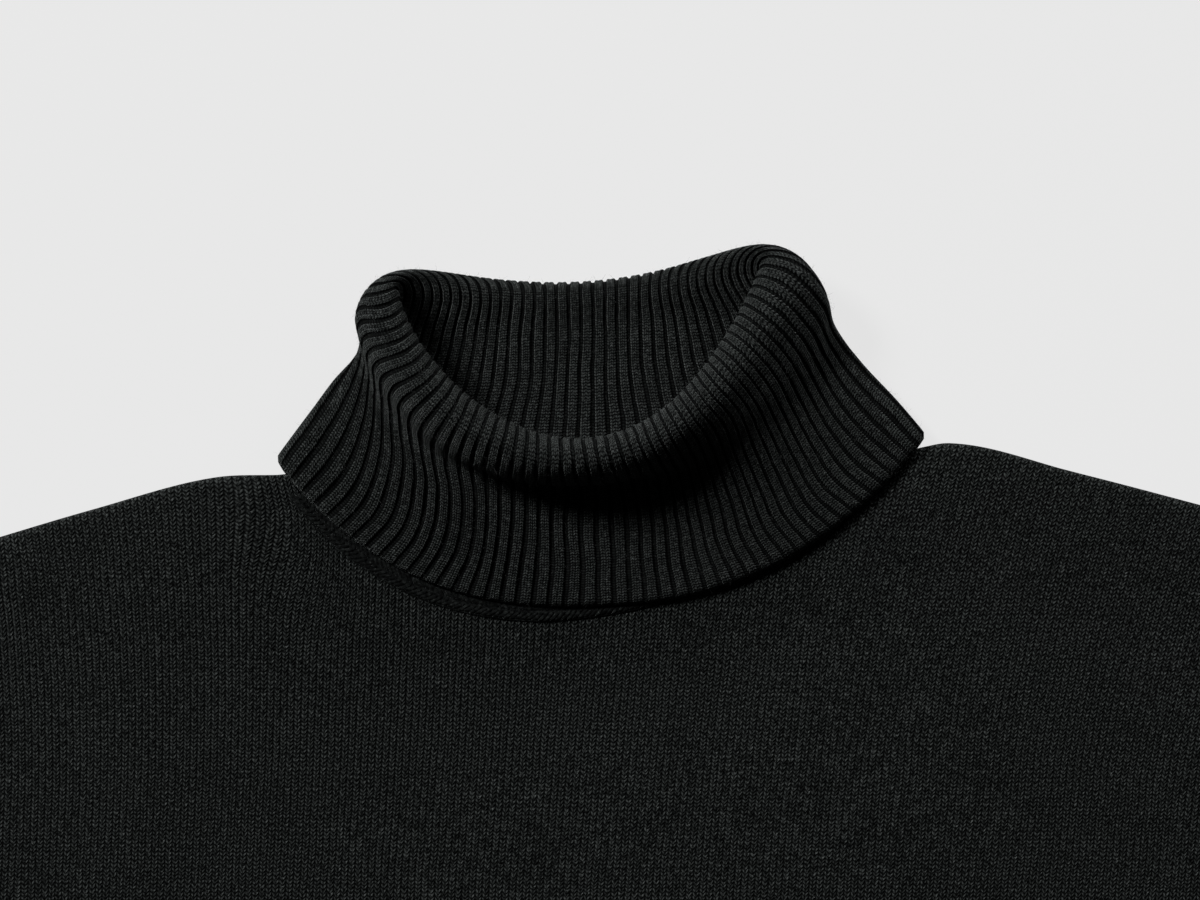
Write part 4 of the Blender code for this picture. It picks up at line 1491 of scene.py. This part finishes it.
    def knit_counts(self, plan: Array) -> Array:
        """Wales and courses over the panel, leaning a little where the cloth is drawn.

        Args:
            plan: Plan positions.

        Returns:
            Wale and course counts.
        """
        x, y = plan[..., 0], plan[..., 1]
        above = np.clip(y - self.LEAN_FROM, 0.0, None)
        below = np.clip(self.LEAN_FROM - y, 0.0, None)
        out = x / self.FAN_HALF
        lean = self.LEAN * above + out * (self.FAN * above + self.FAN_GAIN / 2 * above**2)
        fading = 1 - np.exp(-below / self.STRAIGHTENING)
        lean = lean - (self.LEAN + self.FAN * out) * self.STRAIGHTENING * fading
        lean = lean + self.DRAWN.over(x, y)
        return np.dstack([(x - lean) / CUT.wale, y / CUT.course])

    def build(self, material: Material) -> Object:
        """Builds the panel.

        Args:
            material: Its finish.

        Returns:
            The panel as one closed wall.
        """
        plan = self.plan()
        knit = self.knit_counts(plan)
        from_top, from_side = self.inset(plan)
        shown = smoothstep(from_side / self.SIDE_FADE)
        shown = shown * smoothstep((from_top - self.TOP_BARE) / self.TOP_FADE)
        columns = np.arange(plan.shape[1])
        at_edge = np.minimum(columns, columns[::-1]) < self.EDGE_COLUMNS
        keep = columns[at_edge | ((columns - self.EDGE_COLUMNS) % self.plain_step == 0)]
        coarse = plan[:, keep]
        wall = ClothWall(self.layer.value)
        outer = wall.grid(np.dstack([plan, self.height(plan, Face.OUTER)]), knit, shown, False)
        inner = wall.grid(np.dstack([coarse, self.height(coarse, Face.INNER)]), knit[:, keep], 0.0, False)
        wall.rim(outer, inner)
        piece = wall.build()
        if self.layer is Layer.FRONT:
            return self.relief.raise_on(piece, material)
        piece.data.materials.append(material)
        return piece


# ------------------------------------------------------------------------------------ tubes


@dataclass
class FlatTube:
    """A flattened tube of cloth between two folded edges.

    Attributes:
        name: Name of the piece.
        starts: Plan points down its first folded edge.
        ends: Plan points down its second.
        knit_columns: Ribs or wales across its upper face.
        points_each: Mesh points across each of them.
        relief: Its raised ribs or wales.
        first_row: Plan of the first row, by distance across it and its width, if it isn't straight.
        straight_after: Share of its length over which its rows get straight.
    """

    name: str
    starts: Array
    ends: Array
    knit_columns: int
    points_each: int
    relief: RibRelief
    first_row: Optional[Callable[[Array, float], Array]] = None
    straight_after: float = 0.21

    EDGE = (0.0, 0.12, 0.4, 0.9, 1.8, 3.3, 5.5)  # places near a folded edge, where the cloth bends round
    TABLE_SIDE = 1.0  # below this height the tube lies on the table, with no relief
    PLAIN_STEP = 8  # every how many columns the plain face inside has one, but at least PLAIN_LEAST
    PLAIN_LEAST = 12

    def loop(self, width: float, face: Face) -> tuple[Array, Array]:
        """One face of the tube at one row: over the top, and back underneath.

        Args:
            width: Width of the flat tube there.
            face: Which face.

        Returns:
            Distance across and Z of each point, and its knit column count.
        """
        edge = np.array(self.EDGE)
        count = self.knit_columns * self.points_each
        if face is Face.INNER:
            edge = edge[edge >= CUT.wall]
            count = max(self.PLAIN_LEAST, count // self.PLAIN_STEP)
        middle = np.linspace(edge[-1], width - edge[-1], count)[1:-1]
        top = np.concatenate([edge, middle, width - edge[::-1]])
        low = top[-2:0:-1]
        upper = CUT.layer_height(np.minimum(top, width - top), 1.0, True, face)
        lower = CUT.layer_height(np.minimum(low, width - low), 1.0, False, face)
        counts = np.concatenate([top, 2 * width - low]) / width * self.knit_columns
        return np.stack([np.concatenate([top, low]), np.concatenate([upper, lower])], axis=1), counts

    def build(self, material: Material) -> Object:
        """Builds the tube.

        Args:
            material: Its finish.

        Returns:
            The tube as one closed wall.
        """
        wall = ClothWall(self.name)
        run = running_total(step_lengths((self.starts + self.ends) / 2))
        grids = []
        for face in Face:
            rows, knits, bend = [], [], 0.0
            for row, (start, end) in enumerate(zip(self.starts, self.ends)):
                width = math.dist(start, end)
                loop, counts = self.loop(width, face)
                plan = start + (end - start) * (loop[:, :1] / width)
                if self.first_row is not None:
                    bend = self.first_row(loop[:, 0], width) - plan if row == 0 else bend
                    plan = plan + bend * max(0.0, 1 - run[row] / run[-1] / self.straight_after) ** 3
                rows.append(np.column_stack([plan, loop[:, 1]]))
                counts = np.append(counts, 2 * self.knit_columns)
                knits.append(np.column_stack([counts, np.full(len(counts), run[row] / CUT.course)]))
            points = np.stack(rows)
            shown = np.where(points[..., 2] < self.TABLE_SIDE, 0.0, 1.0) if face is Face.OUTER else 0.0
            grids.append(wall.grid(points, np.stack(knits), shown, True))
        wall.ends(*grids)
        return self.relief.raise_on(wall.build(), material)


@dataclass
class RibbedBand:
    """A flat ribbed band at an open end, which draws in from its seam's width.

    Attributes:
        name: Name of the piece.
        first: Plan end of the seam on one side.
        last: Plan end of the seam on the other.
        way: The way that the ribs run.
        tall: Length of the band.
        narrow_by: How much narrower it is than the seam.
        ribs: Ribs across it.
        relief: Its raised ribs.
    """

    name: str
    first: Array
    last: Array
    way: Array
    tall: float
    narrow_by: float
    ribs: int
    relief: RibRelief = RibRelief(0.85, 0.04, 0.17, 0.16)

    ROWS = 26
    POINTS_PER_RIB = 8
    DRAWN_IN_OVER = 18.0

    def build(self, material: Material) -> Object:
        """Builds the band.

        Args:
            material: Its finish.

        Returns:
            The band as one closed wall.
        """
        across = (self.last - self.first) / math.dist(self.first, self.last)
        along = CUT.gap + (self.tall - CUT.gap) * np.linspace(0, 1, self.ROWS)
        pull = smoothstep((along - CUT.gap) / self.DRAWN_IN_OVER) * self.narrow_by / 2
        starts = self.first + self.way * along[:, None] + across * pull[:, None]
        ends = self.last + self.way * along[:, None] - across * pull[:, None]
        tube = FlatTube(self.name, starts, ends, self.ribs, self.POINTS_PER_RIB, self.relief)
        return tube.build(material)


@dataclass
class Sleeve:
    """One set-in sleeve with its ribbed cuff, from the armhole down to the wrist.

    Attributes:
        side: Which sleeve.
        turn_length: Length of the top edge's turn below the shoulder tip.
        straight: Length of the top edge after it.
        start_angle: How far the top edge falls at the tip, in degrees below level.
        end_angle: How far it falls after the turn.
        end_wide: Width at the cuff's seam.
        cuff_wide: Width of the cuff.
        cuff_tall: Length of the cuff.
        rib_pitch: Width of a rib of the cuff.
        armhole_gap: Distance from the body at the armhole's seam.
        relief: The sleeve's raised wales.
    """

    side: Side
    turn_length: float = 130.0
    straight: float = 410.0
    start_angle: float = 12.0
    end_angle: float = 54.0
    end_wide: float = 105.0
    cuff_wide: float = 86.0
    cuff_tall: float = 68.0
    rib_pitch: float = 4.8
    armhole_gap: float = 0.04
    relief: RibRelief = RibRelief(0.25)

    TURNS = 5
    STRAIGHT_ROWS = (0.3, 0.65, 1.0)  # shares of the top edge's straight length
    UNDER_ROWS = (0.0, 0.012, 0.06, 0.13, 0.21, 0.31, 0.53, 0.77, 1.0)  # shares of the under edge
    FIRST_ROWS = 5  # mesh rows up to the second knot, and after it
    FURTHER_ROWS = 56
    POINTS_PER_WALE = 4

    @property
    def tip_y(self) -> float:
        """Height of the shoulder tip on this side."""
        return (CUT.left_shoulder if self.side is Side.LEFT else CUT.right_shoulder).tip_y

    def edges(self) -> tuple[Array, Array, Array]:
        """Top and under folded edges.

        Returns:
            Plan points down the top edge, down the under edge, and the way that the sleeve runs.
        """
        start, end = math.radians(self.start_angle), math.radians(self.end_angle)
        way = np.array([math.cos(end), -math.sin(end)])
        top = [np.array([CUT.shoulder_half + self.armhole_gap, self.tip_y])]
        step = self.turn_length / self.TURNS
        for k in range(self.TURNS):
            angle = start + (end - start) * (k + 0.5) / self.TURNS
            top.append(top[-1] + step * np.array([math.cos(angle), -math.sin(angle)]))
        top += [top[self.TURNS] + way * length for length in np.array(self.STRAIGHT_ROWS) * self.straight]
        under_start = np.array([CUT.chest_half + self.armhole_gap, CUT.underarm_y])
        under_end = top[-1] + self.end_wide * np.array([way[1], -way[0]])
        under = under_start + (under_end - under_start) * np.array(self.UNDER_ROWS)[:, None]
        knots = np.arange(len(under))
        first = np.linspace(0, 1, self.FIRST_ROWS + 1)[:-1]
        rows = np.concatenate([first, np.linspace(1, knots[-1], self.FURTHER_ROWS)])
        mirror = np.array([self.side.value, 1.0])
        edges = [read_line(edge, knots, rows) * mirror for edge in (np.array(top), under)]
        return edges[0], edges[1], way * mirror

    def armhole(self, across: Array, width: float) -> Array:
        """The armhole's curve, from the shoulder tip to the underarm.

        Args:
            across: Distances across the sleeve's first row.
            width: Its width.

        Returns:
            Plan points.
        """
        y = self.tip_y + (CUT.underarm_y - self.tip_y) * across / width
        return np.stack([self.side.value * (CUT.side_half(y) + self.armhole_gap), y], axis=1)

    def build(self, jersey: Material, rib: Material) -> tuple[Object, Object]:
        """Builds the sleeve and its cuff.

        Args:
            jersey: Finish of the sleeve.
            rib: Finish of the cuff.

        Returns:
            The sleeve and the cuff.
        """
        word = self.side.name.lower()
        top, under, way = self.edges()
        wales = round(math.dist(top[0], under[0]) / CUT.wale)
        shape = (top, under, wales, self.POINTS_PER_WALE, self.relief, self.armhole)
        sleeve = FlatTube(word + "_sleeve", *shape)
        ribs = round(self.cuff_wide / self.rib_pitch)
        narrow_by = self.end_wide - self.cuff_wide
        cuff = RibbedBand(word + "_cuff", top[-1], under[-1], way, self.cuff_tall, narrow_by, ribs)
        return sleeve.build(jersey), cuff.build(rib)


@dataclass
class Hem:
    """The ribbed hem, one band all round.

    Attributes:
        tall: Length of the band.
        rib_half: Half its width.
        rib_pitch: Width of a rib.
    """

    tall: float = 65.0
    rib_half: float = 232.0
    rib_pitch: float = 4.8

    def build(self, material: Material) -> Object:
        """Builds the hem.

        Args:
            material: Its finish.

        Returns:
            The hem as one closed wall.
        """
        left, right = (np.array([side.value * CUT.hem_half, CUT.hem_seam_y]) for side in Side)
        narrow_by = 2 * (CUT.hem_half - self.rib_half)
        ribs = round(2 * self.rib_half / self.rib_pitch)
        down = np.array([0.0, -1.0])
        return RibbedBand("welt", left, right, down, self.tall, narrow_by, ribs).build(material)


# ------------------------------------------------------------------------------------ linking strip


@dataclass
class LinkingStrip:
    """The narrow strip of slanted stitches that links collar and front.

    Attributes:
        wide: Width of the strip.
        length: Its length along the neckline, about.
        shown_reach: Distance of its middle from the neckline at the left, where it shows.
        hidden_reach: The same at the right, where it lies under the collar.
        stitch_pitch: Distance from stitch to stitch along it.
        row_offset: Distance of the two rows of stitches from its middle.
        slant: How far the stitches are turned from it, in degrees.
        wobble: How much that varies, in radians.
        seed: Seed of the variation.
    """

    wide: float = 8.0
    length: float = 270.0
    shown_reach: float = 1.0
    hidden_reach: float = -3.0
    stitch_pitch: float = 2.1
    row_offset: float = 1.75
    slant: float = 34.0
    wobble: float = 0.16
    seed: int = 7

    SIDES = (-1.0, -0.95, -0.8, -0.5, 0.0, 0.5, 0.8, 0.95, 1.0)  # mesh points across, in half widths
    POINTS_ALONG = 240
    ENDS = (0.035, 0.965)  # shares of the neckline where it begins and ends
    HIDDEN_FROM = 0.4  # it goes under the collar from this share, over HIDDEN_OVER
    HIDDEN_OVER = 0.25
    EDGE_THICK = 0.2
    CROWN = 0.5  # its middle is higher than its edges by this much
    STITCH_HALF = (2.6, 0.85, 0.62)  # half length, width and height of a stitch
    STITCH_BEND = 0.35
    STITCH_LIFT = 0.55  # their path lies this far above the strip's underside
    PATH_SHIFT = 0.3  # and this far outside its middle
    PATH_POINTS = 180

    def under(self) -> float:
        """Height of the strip's underside."""
        return CUT.wall + CUT.gap + CUT.strip_lift + CUT.wall + CUT.gap

    def edge_line(self, outward: float, count: int) -> Array:
        """A line along the strip.

        Args:
            outward: Distance from the strip's middle.
            count: How many points.

        Returns:
            Plan points.
        """
        share = np.linspace(*self.ENDS, count)
        hidden = smoothstep((share - self.HIDDEN_FROM) / self.HIDDEN_OVER)[:, None]
        shown_line = evenly_along(Collar.neckline(outward + self.shown_reach), share)
        hidden_line = evenly_along(Collar.neckline(outward + self.hidden_reach), share)
        return shown_line + (hidden_line - shown_line) * hidden

    def base(self, material: Material) -> Object:
        """Builds the cloth of the strip.

        Args:
            material: Its finish.

        Returns:
            The strip as one closed wall.
        """
        sides = np.array(self.SIDES)
        plan = np.stack([self.edge_line(side * self.wide / 2, self.POINTS_ALONG) for side in sides])
        crown = self.EDGE_THICK + self.CROWN * np.sqrt(1 - sides**2)
        run = np.linspace(0, 1, self.POINTS_ALONG) * self.length / self.stitch_pitch
        knit = np.stack(np.meshgrid(sides, run, indexing="ij"), axis=2)
        top = np.broadcast_to(self.under() + crown[:, None], plan.shape[:2])
        bottom = np.full(plan.shape[:2], self.under())
        wall = ClothWall("linking_strip")
        wall.rim(*(wall.grid(np.dstack([plan, z]), knit, 0.0, False) for z in (top, bottom)))
        piece = wall.build()
        piece.data.materials.append(material)
        return piece

    def stitch(self) -> Object:
        """One slanted stitch, a plump short length of yarn along X.

        Returns:
            The stitch, out of the scene.
        """
        maker = bmesh.new()
        bmesh.ops.create_uvsphere(maker, u_segments=8, v_segments=6, radius=1.0)
        long, wide, tall = (half * MM for half in self.STITCH_HALF)
        for vertex in maker.verts:
            z, y, x = vertex.co
            vertex.co = (x * long, (y + self.STITCH_BEND * x * x) * wide, z * tall)
        return repeated_shape("linking_stitch", maker)

    def stitches(self, material: Material) -> Object:
        """Lays slanted stitches in rows along the strip, on the path of its middle line.

        Args:
            material: Their finish.

        Returns:
            All the stitches as one mesh.
        """
        line = self.edge_line(self.PATH_SHIFT, self.PATH_POINTS)
        points = to_scene(np.column_stack([line, np.full(len(line), self.under() + self.STITCH_LIFT)]))
        mesh = bpy.data.meshes.new("linking_stitches")
        mesh.from_pydata(points.tolist(), [(k, k + 1) for k in range(len(points) - 1)], [])
        piece = place_object("linking_stitches", mesh)
        stitch = self.stitch()
        tree = ShapeTree("linking_stitches")
        pitch = tree.size("Stitch Pitch", self.stitch_pitch * MM)
        offset = tree.size("Row Offset", self.row_offset * MM)
        slant = tree.size("Slant", math.radians(self.slant))
        seed = tree.size("Seed", self.seed)
        curve = tree.node("GeometryNodeMeshToCurve", {"Mesh": tree.start})
        even = tree.node("GeometryNodeResampleCurve", {"Curve": curve, "Length": pitch}, mode="LENGTH")
        made = tree.node("GeometryNodeObjectInfo", {"Object": stitch}, out="Geometry")
        tangent = tree.node("GeometryNodeInputTangent", {})
        place = tree.node("GeometryNodeInputIndex", {})
        rows = []
        for row, side in enumerate((-1.0, 1.0)):
            links = {0: tangent, 1: (0.0, 0.0, 1.0)}
            across = tree.node("ShaderNodeVectorMath", links, operation="CROSS_PRODUCT")
            links = {"Geometry": even, "Offset": tree.scaled(across, offset * side)}
            moved = tree.node("GeometryNodeSetPosition", links)
            turn = tree.node("FunctionNodeAlignRotationToVector", {"Vector": tangent}, axis="X")
            links = {"Min": -self.wobble, "Max": self.wobble, "ID": place, "Seed": seed + float(row)}
            wobble = tree.node("FunctionNodeRandomValue", links, out=1, data_type="FLOAT")
            spin = tree.node("ShaderNodeCombineXYZ", {2: slant * side + Term(tree, wobble)})
            links = {"Rotation": turn, "Rotate By": spin}
            turned = tree.node("FunctionNodeRotateRotation", links, rotation_space="LOCAL")
            links = {"Points": moved, "Instance": made, "Rotation": turned}
            rows.append(tree.node("GeometryNodeInstanceOnPoints", links))
        joined = tree.node("GeometryNodeJoinGeometry", {0: rows})
        piece = tree.apply(piece, joined, material)
        bpy.data.objects.remove(stitch)
        piece.data.shade_smooth()
        return piece


# ------------------------------------------------------------------------------------ loose fibres


@dataclass(frozen=True)
class LooseFibres:
    """Fine wool fibres that stand off a knitted piece.

    Attributes:
        box: Where they grow: low X, high X, low Y and high Y, in millimetres from the neck point line.
        per_square_cm: Fibres on a square centimetre.
        length: Length of a fibre.
        thick: Its thickness at the root.
        bend: How far its tip leans, as a share of its length.
        tilt: Most turn about X and Y, and about its own length, in radians.
        spread: Least and most scale of a fibre.
        seed: Seed of their places and turns.
    """

    box: tuple[float, float, float, float]
    per_square_cm: float = 14.0
    length: float = 2.2
    thick: float = 0.05
    bend: float = 0.45
    tilt: tuple[float, float, float] = (1.1, 1.1, 3.1)
    spread: tuple[float, float] = (0.35, 1.25)
    seed: int = 3

    LEVELS = 4
    CORNERS = 3
    TAPER = 0.7
    LOWEST = 2.0  # none grow lower than this above the table
    SQUARE_CM = 10000  # in a square metre

    def fibre(self) -> Object:
        """One bent, tapering fibre along Z, with three flat sides.

        Returns:
            The fibre, out of the scene.
        """
        maker = bmesh.new()
        rings = []
        for level in range(self.LEVELS):
            share = level / (self.LEVELS - 1)
            radius = self.thick / 2 * (1 - self.TAPER * share) * MM
            lean = self.bend * share**2 * self.length * MM
            angles = [2 * math.pi * corner / self.CORNERS for corner in range(self.CORNERS)]
            height = share * self.length * MM
            ring = [(lean + radius * math.cos(a), radius * math.sin(a), height) for a in angles]
            rings.append([maker.verts.new(at) for at in ring])
        for low, high in zip(rings, rings[1:]):
            for k in range(self.CORNERS):
                after = (k + 1) % self.CORNERS
                maker.faces.new((low[k], low[after], high[after], high[k]))
        maker.faces.new(rings[0][::-1])
        maker.faces.new(rings[-1])
        return repeated_shape("fibre", maker)

    def grow_on(self, piece: Object, name: str, material: Material) -> Object:
        """Grows fibres on the part of a piece that lies in the box.

        Args:
            piece: The knitted piece.
            name: Name of the fibres' own piece.
            material: Their finish.

        Returns:
            The fibres as one mesh.
        """
        host = place_object(name, piece.data.copy())
        host.data.name = name
        fibre = self.fibre()
        tree = ShapeTree(name + "_growth")
        density = tree.size("Fibres Per Square Metre", self.per_square_cm * self.SQUARE_CM)
        seed = tree.size("Seed", self.seed)
        position = tree.node("GeometryNodeInputPosition", {})
        axes = [tree.node("ShaderNodeSeparateXYZ", {0: position}, out=axis) for axis in range(3)]
        x, y, z = (Term(tree, axis) for axis in axes)
        low_x, high_x, low_y, high_y = self.box
        limits = (
            (x, "GREATER_THAN", low_x),
            (x, "LESS_THAN", high_x),
            (y, "GREATER_THAN", low_y + CUT.chest_drop),
            (y, "LESS_THAN", high_y + CUT.chest_drop),
            (z, "GREATER_THAN", self.LOWEST),
        )
        inside = tree.attribute(RELIEF_SHARE)
        for place, test, limit in limits:
            inside = inside * place.with_node(test, limit * MM)
        links = {"Mesh": tree.start, "Density": inside * density, "Seed": seed}
        scattered = tree.node("GeometryNodeDistributePointsOnFaces", links, out="Points")
        made = tree.node("GeometryNodeObjectInfo", {"Object": fibre}, out="Geometry")
        links = {"Min": tuple(-most for most in self.tilt), "Max": self.tilt, "Seed": seed}
        tilt = tree.node("FunctionNodeRandomValue", links, data_type="FLOAT_VECTOR")
        links = {"Rotation": scattered.node.outputs["Rotation"], "Rotate By": tilt}
        turned = tree.node("FunctionNodeRotateRotation", links, rotation_space="LOCAL")
        links = {"Min": self.spread[0], "Max": self.spread[1], "Seed": seed}
        scale = tree.node("FunctionNodeRandomValue", links, out=1, data_type="FLOAT")
        links = {"Points": scattered, "Instance": made, "Rotation": turned, "Scale": scale}
        host = tree.apply(host, tree.node("GeometryNodeInstanceOnPoints", links), material)
        bpy.data.objects.remove(fibre)
        return host


# ------------------------------------------------------------------------------------ studio


class SoftLight(NamedTuple):
    """A large square soft light that faces the collar: its place and width in metres, and its watts."""

    name: str
    at: tuple[float, float, float]
    wide: float
    power: float


@dataclass(frozen=True)
class Studio:
    """A plain pale floor, soft light from the upper left, and a camera straight above.

    Attributes:
        frame_wide: Width of the camera's view at the sweater, in millimetres.
        lens: Focal length.
        sensor: Width of the camera's sensor.
        above_table: Height at which the view is that wide, in metres.
        sky: Strength of the light from all round.
    """

    frame_wide: float = 450.0
    lens: float = 300.0
    sensor: float = 36.0
    above_table: float = 0.006
    sky: float = 0.02

    LIGHTS = (
        SoftLight("key_light", (-3.2, 2.8, 3.2), 1.3, 408.0),
        SoftLight("rim_light", (1.2, 2.2, 0.65), 0.8, 36.0),
    )
    WHITE = (1.0, 1.0, 1.0, 1.0)
    FLOOR_HALF = 4.0  # metres
    FLOOR_Z = -0.0004
    FARTHEST = 50.0

    def floor(self) -> None:
        """Makes the floor."""
        half, z = self.FLOOR_HALF, self.FLOOR_Z
        corners = [(-half, -half, z), (half, -half, z), (half, half, z), (-half, half, z)]
        mesh = bpy.data.meshes.new("table")
        mesh.from_pydata(corners, [], [(0, 1, 2, 3)])
        mesh.materials.append(PaleTable().make())
        place_object("table", mesh)

    def add_light(self, light: SoftLight) -> None:
        """Adds a light, turned to the collar.

        Args:
            light: The light.
        """
        data = bpy.data.lights.new(light.name, "AREA")
        data.size = light.wide
        data.energy = light.power
        x, y, z = light.at[0], light.at[1] - CUT.chest_drop * MM, light.at[2]
        made = place_object(light.name, data)
        made.location = light.at
        made.rotation_euler = (math.atan2(math.hypot(x, y), z), 0.0, math.atan2(y, x) + math.pi / 2)

    def build(self) -> None:
        """Sets up floor, lights, world and camera."""
        self.floor()
        for light in self.LIGHTS:
            self.add_light(light)
        world = bpy.data.worlds.new("studio")
        world.use_nodes = True
        background = world.node_tree.nodes["Background"]
        background.inputs["Color"].default_value = self.WHITE
        background.inputs["Strength"].default_value = self.sky
        scene = bpy.context.scene
        scene.world = world
        scene.view_settings.view_transform = "Standard"
        data = bpy.data.cameras.new("camera")
        data.lens = self.lens
        data.sensor_width = self.sensor
        data.clip_end = self.FARTHEST
        camera = place_object("camera", data)
        distance = self.frame_wide * self.lens / self.sensor * MM
        camera.location = (0.0, CUT.chest_drop * MM, distance + self.above_table)
        scene.camera = camera


# ------------------------------------------------------------------------------------ sweater


class Piece(NamedTuple):
    """A finished cloth piece, the CAD node that it stands for, and its cloth as cut, in metres."""

    made: Object
    node: str
    stitch: Stitch
    flat: tuple[float, float]
    rests_on: Sequence[str]
    extras: Sequence[Object] = ()
    area: Optional[float] = None


@dataclass
class Sweater:
    """The whole sweater, in its wool finishes."""

    finishes: dict[Stitch, Material] = field(default_factory=dict)

    BODY_FLAT = (0.55, 0.60)
    BODY_AREA = 0.30
    SLEEVE_FLAT = (0.43, 0.54)
    SLEEVE_AREA = 0.125
    CUFF_FLAT = (0.172, 0.068)
    HEM_FLAT = (0.93, 0.065)
    COLLAR_FLAT = (0.50, 0.155)
    STRIP_FLAT = (0.010, 0.27)
    COLLAR_FUZZ = LooseFibres((-140.0, 140.0, -80.0, 90.0))
    FRONT_FUZZ = LooseFibres((-228.0, 228.0, -175.0, 10.0), per_square_cm=5.0, length=1.8)

    def dress(self) -> None:
        """Makes the wool finishes."""
        self.finishes = {stitch: BlackWool(stitch).make() for stitch in Stitch}

    def pieces(self) -> list[Piece]:
        """Builds every piece.

        Returns:
            The pieces, each with the CAD node that it stands for.
        """
        jersey, rib, linked = (self.finishes[stitch] for stitch in Stitch)
        fibre = FibreFinish().make()
        collar = Collar().build(rib)
        front = BodyPanel(Layer.FRONT).build(jersey)
        back = BodyPanel(Layer.BACK, points_per_wale=1, plain_step=4).build(jersey)
        strip = LinkingStrip()
        strip_cloth, strip_stitches = strip.base(linked), strip.stitches(linked)
        fuzz = self.COLLAR_FUZZ.grow_on(collar, "rollneck_fibres", fibre)
        front_fuzz = self.FRONT_FUZZ.grow_on(front, "front_fibres", fibre)
        body = (self.BODY_FLAT, self.BODY_AREA)
        under_collar, table, on_front = ("back_panel", "front_panel"), ("table",), ("front_panel",)
        made = [
            Piece(collar, "collar", Stitch.RIB, self.COLLAR_FLAT, under_collar, (fuzz,)),
            Piece(front, "front_panel", Stitch.JERSEY, body[0], ("back_panel",), (front_fuzz,), body[1]),
            Piece(back, "back_panel", Stitch.JERSEY, body[0], table, (), body[1]),
            Piece(strip_cloth, "neck_strip", Stitch.LINKED, self.STRIP_FLAT, on_front, (strip_stitches,)),
        ]
        for side in Side:
            word = side.name.lower()
            sleeve, cuff = Sleeve(side).build(jersey, rib)
            sleeve_cut = (self.SLEEVE_FLAT, table, (), self.SLEEVE_AREA)
            made.append(Piece(sleeve, "sleeve_" + word, Stitch.JERSEY, *sleeve_cut))
            made.append(Piece(cuff, "cuff_" + word, Stitch.RIB, self.CUFF_FLAT, table))
        made.append(Piece(Hem().build(rib), "hem_rib", Stitch.RIB, self.HEM_FLAT, table))
        return made

    def hand_over(self, pieces: Sequence[Piece]) -> None:
        """Ties each piece and its extras to the part's body, hides the CAD node that it stands for, and logs
        its faces.

        Args:
            pieces: The finished pieces.
        """
        for piece in pieces:
            for thing in (piece.made, *piece.extras):
                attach(thing, "root")
            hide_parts(piece.node)
        for piece in pieces:
            list(piece.rests_on)
            list(piece.extras)
            log.info("%s: %d faces", piece.made.name, len(piece.made.data.polygons))


def main() -> None:
    """Builds the sweater and the studio round it."""
    logging.basicConfig(level=logging.INFO, format="%(name)s: %(message)s")
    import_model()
    sweater = Sweater()
    sweater.dress()
    sweater.hand_over(sweater.pieces())
    Studio().build()


if __name__ == "__main__":
    main()
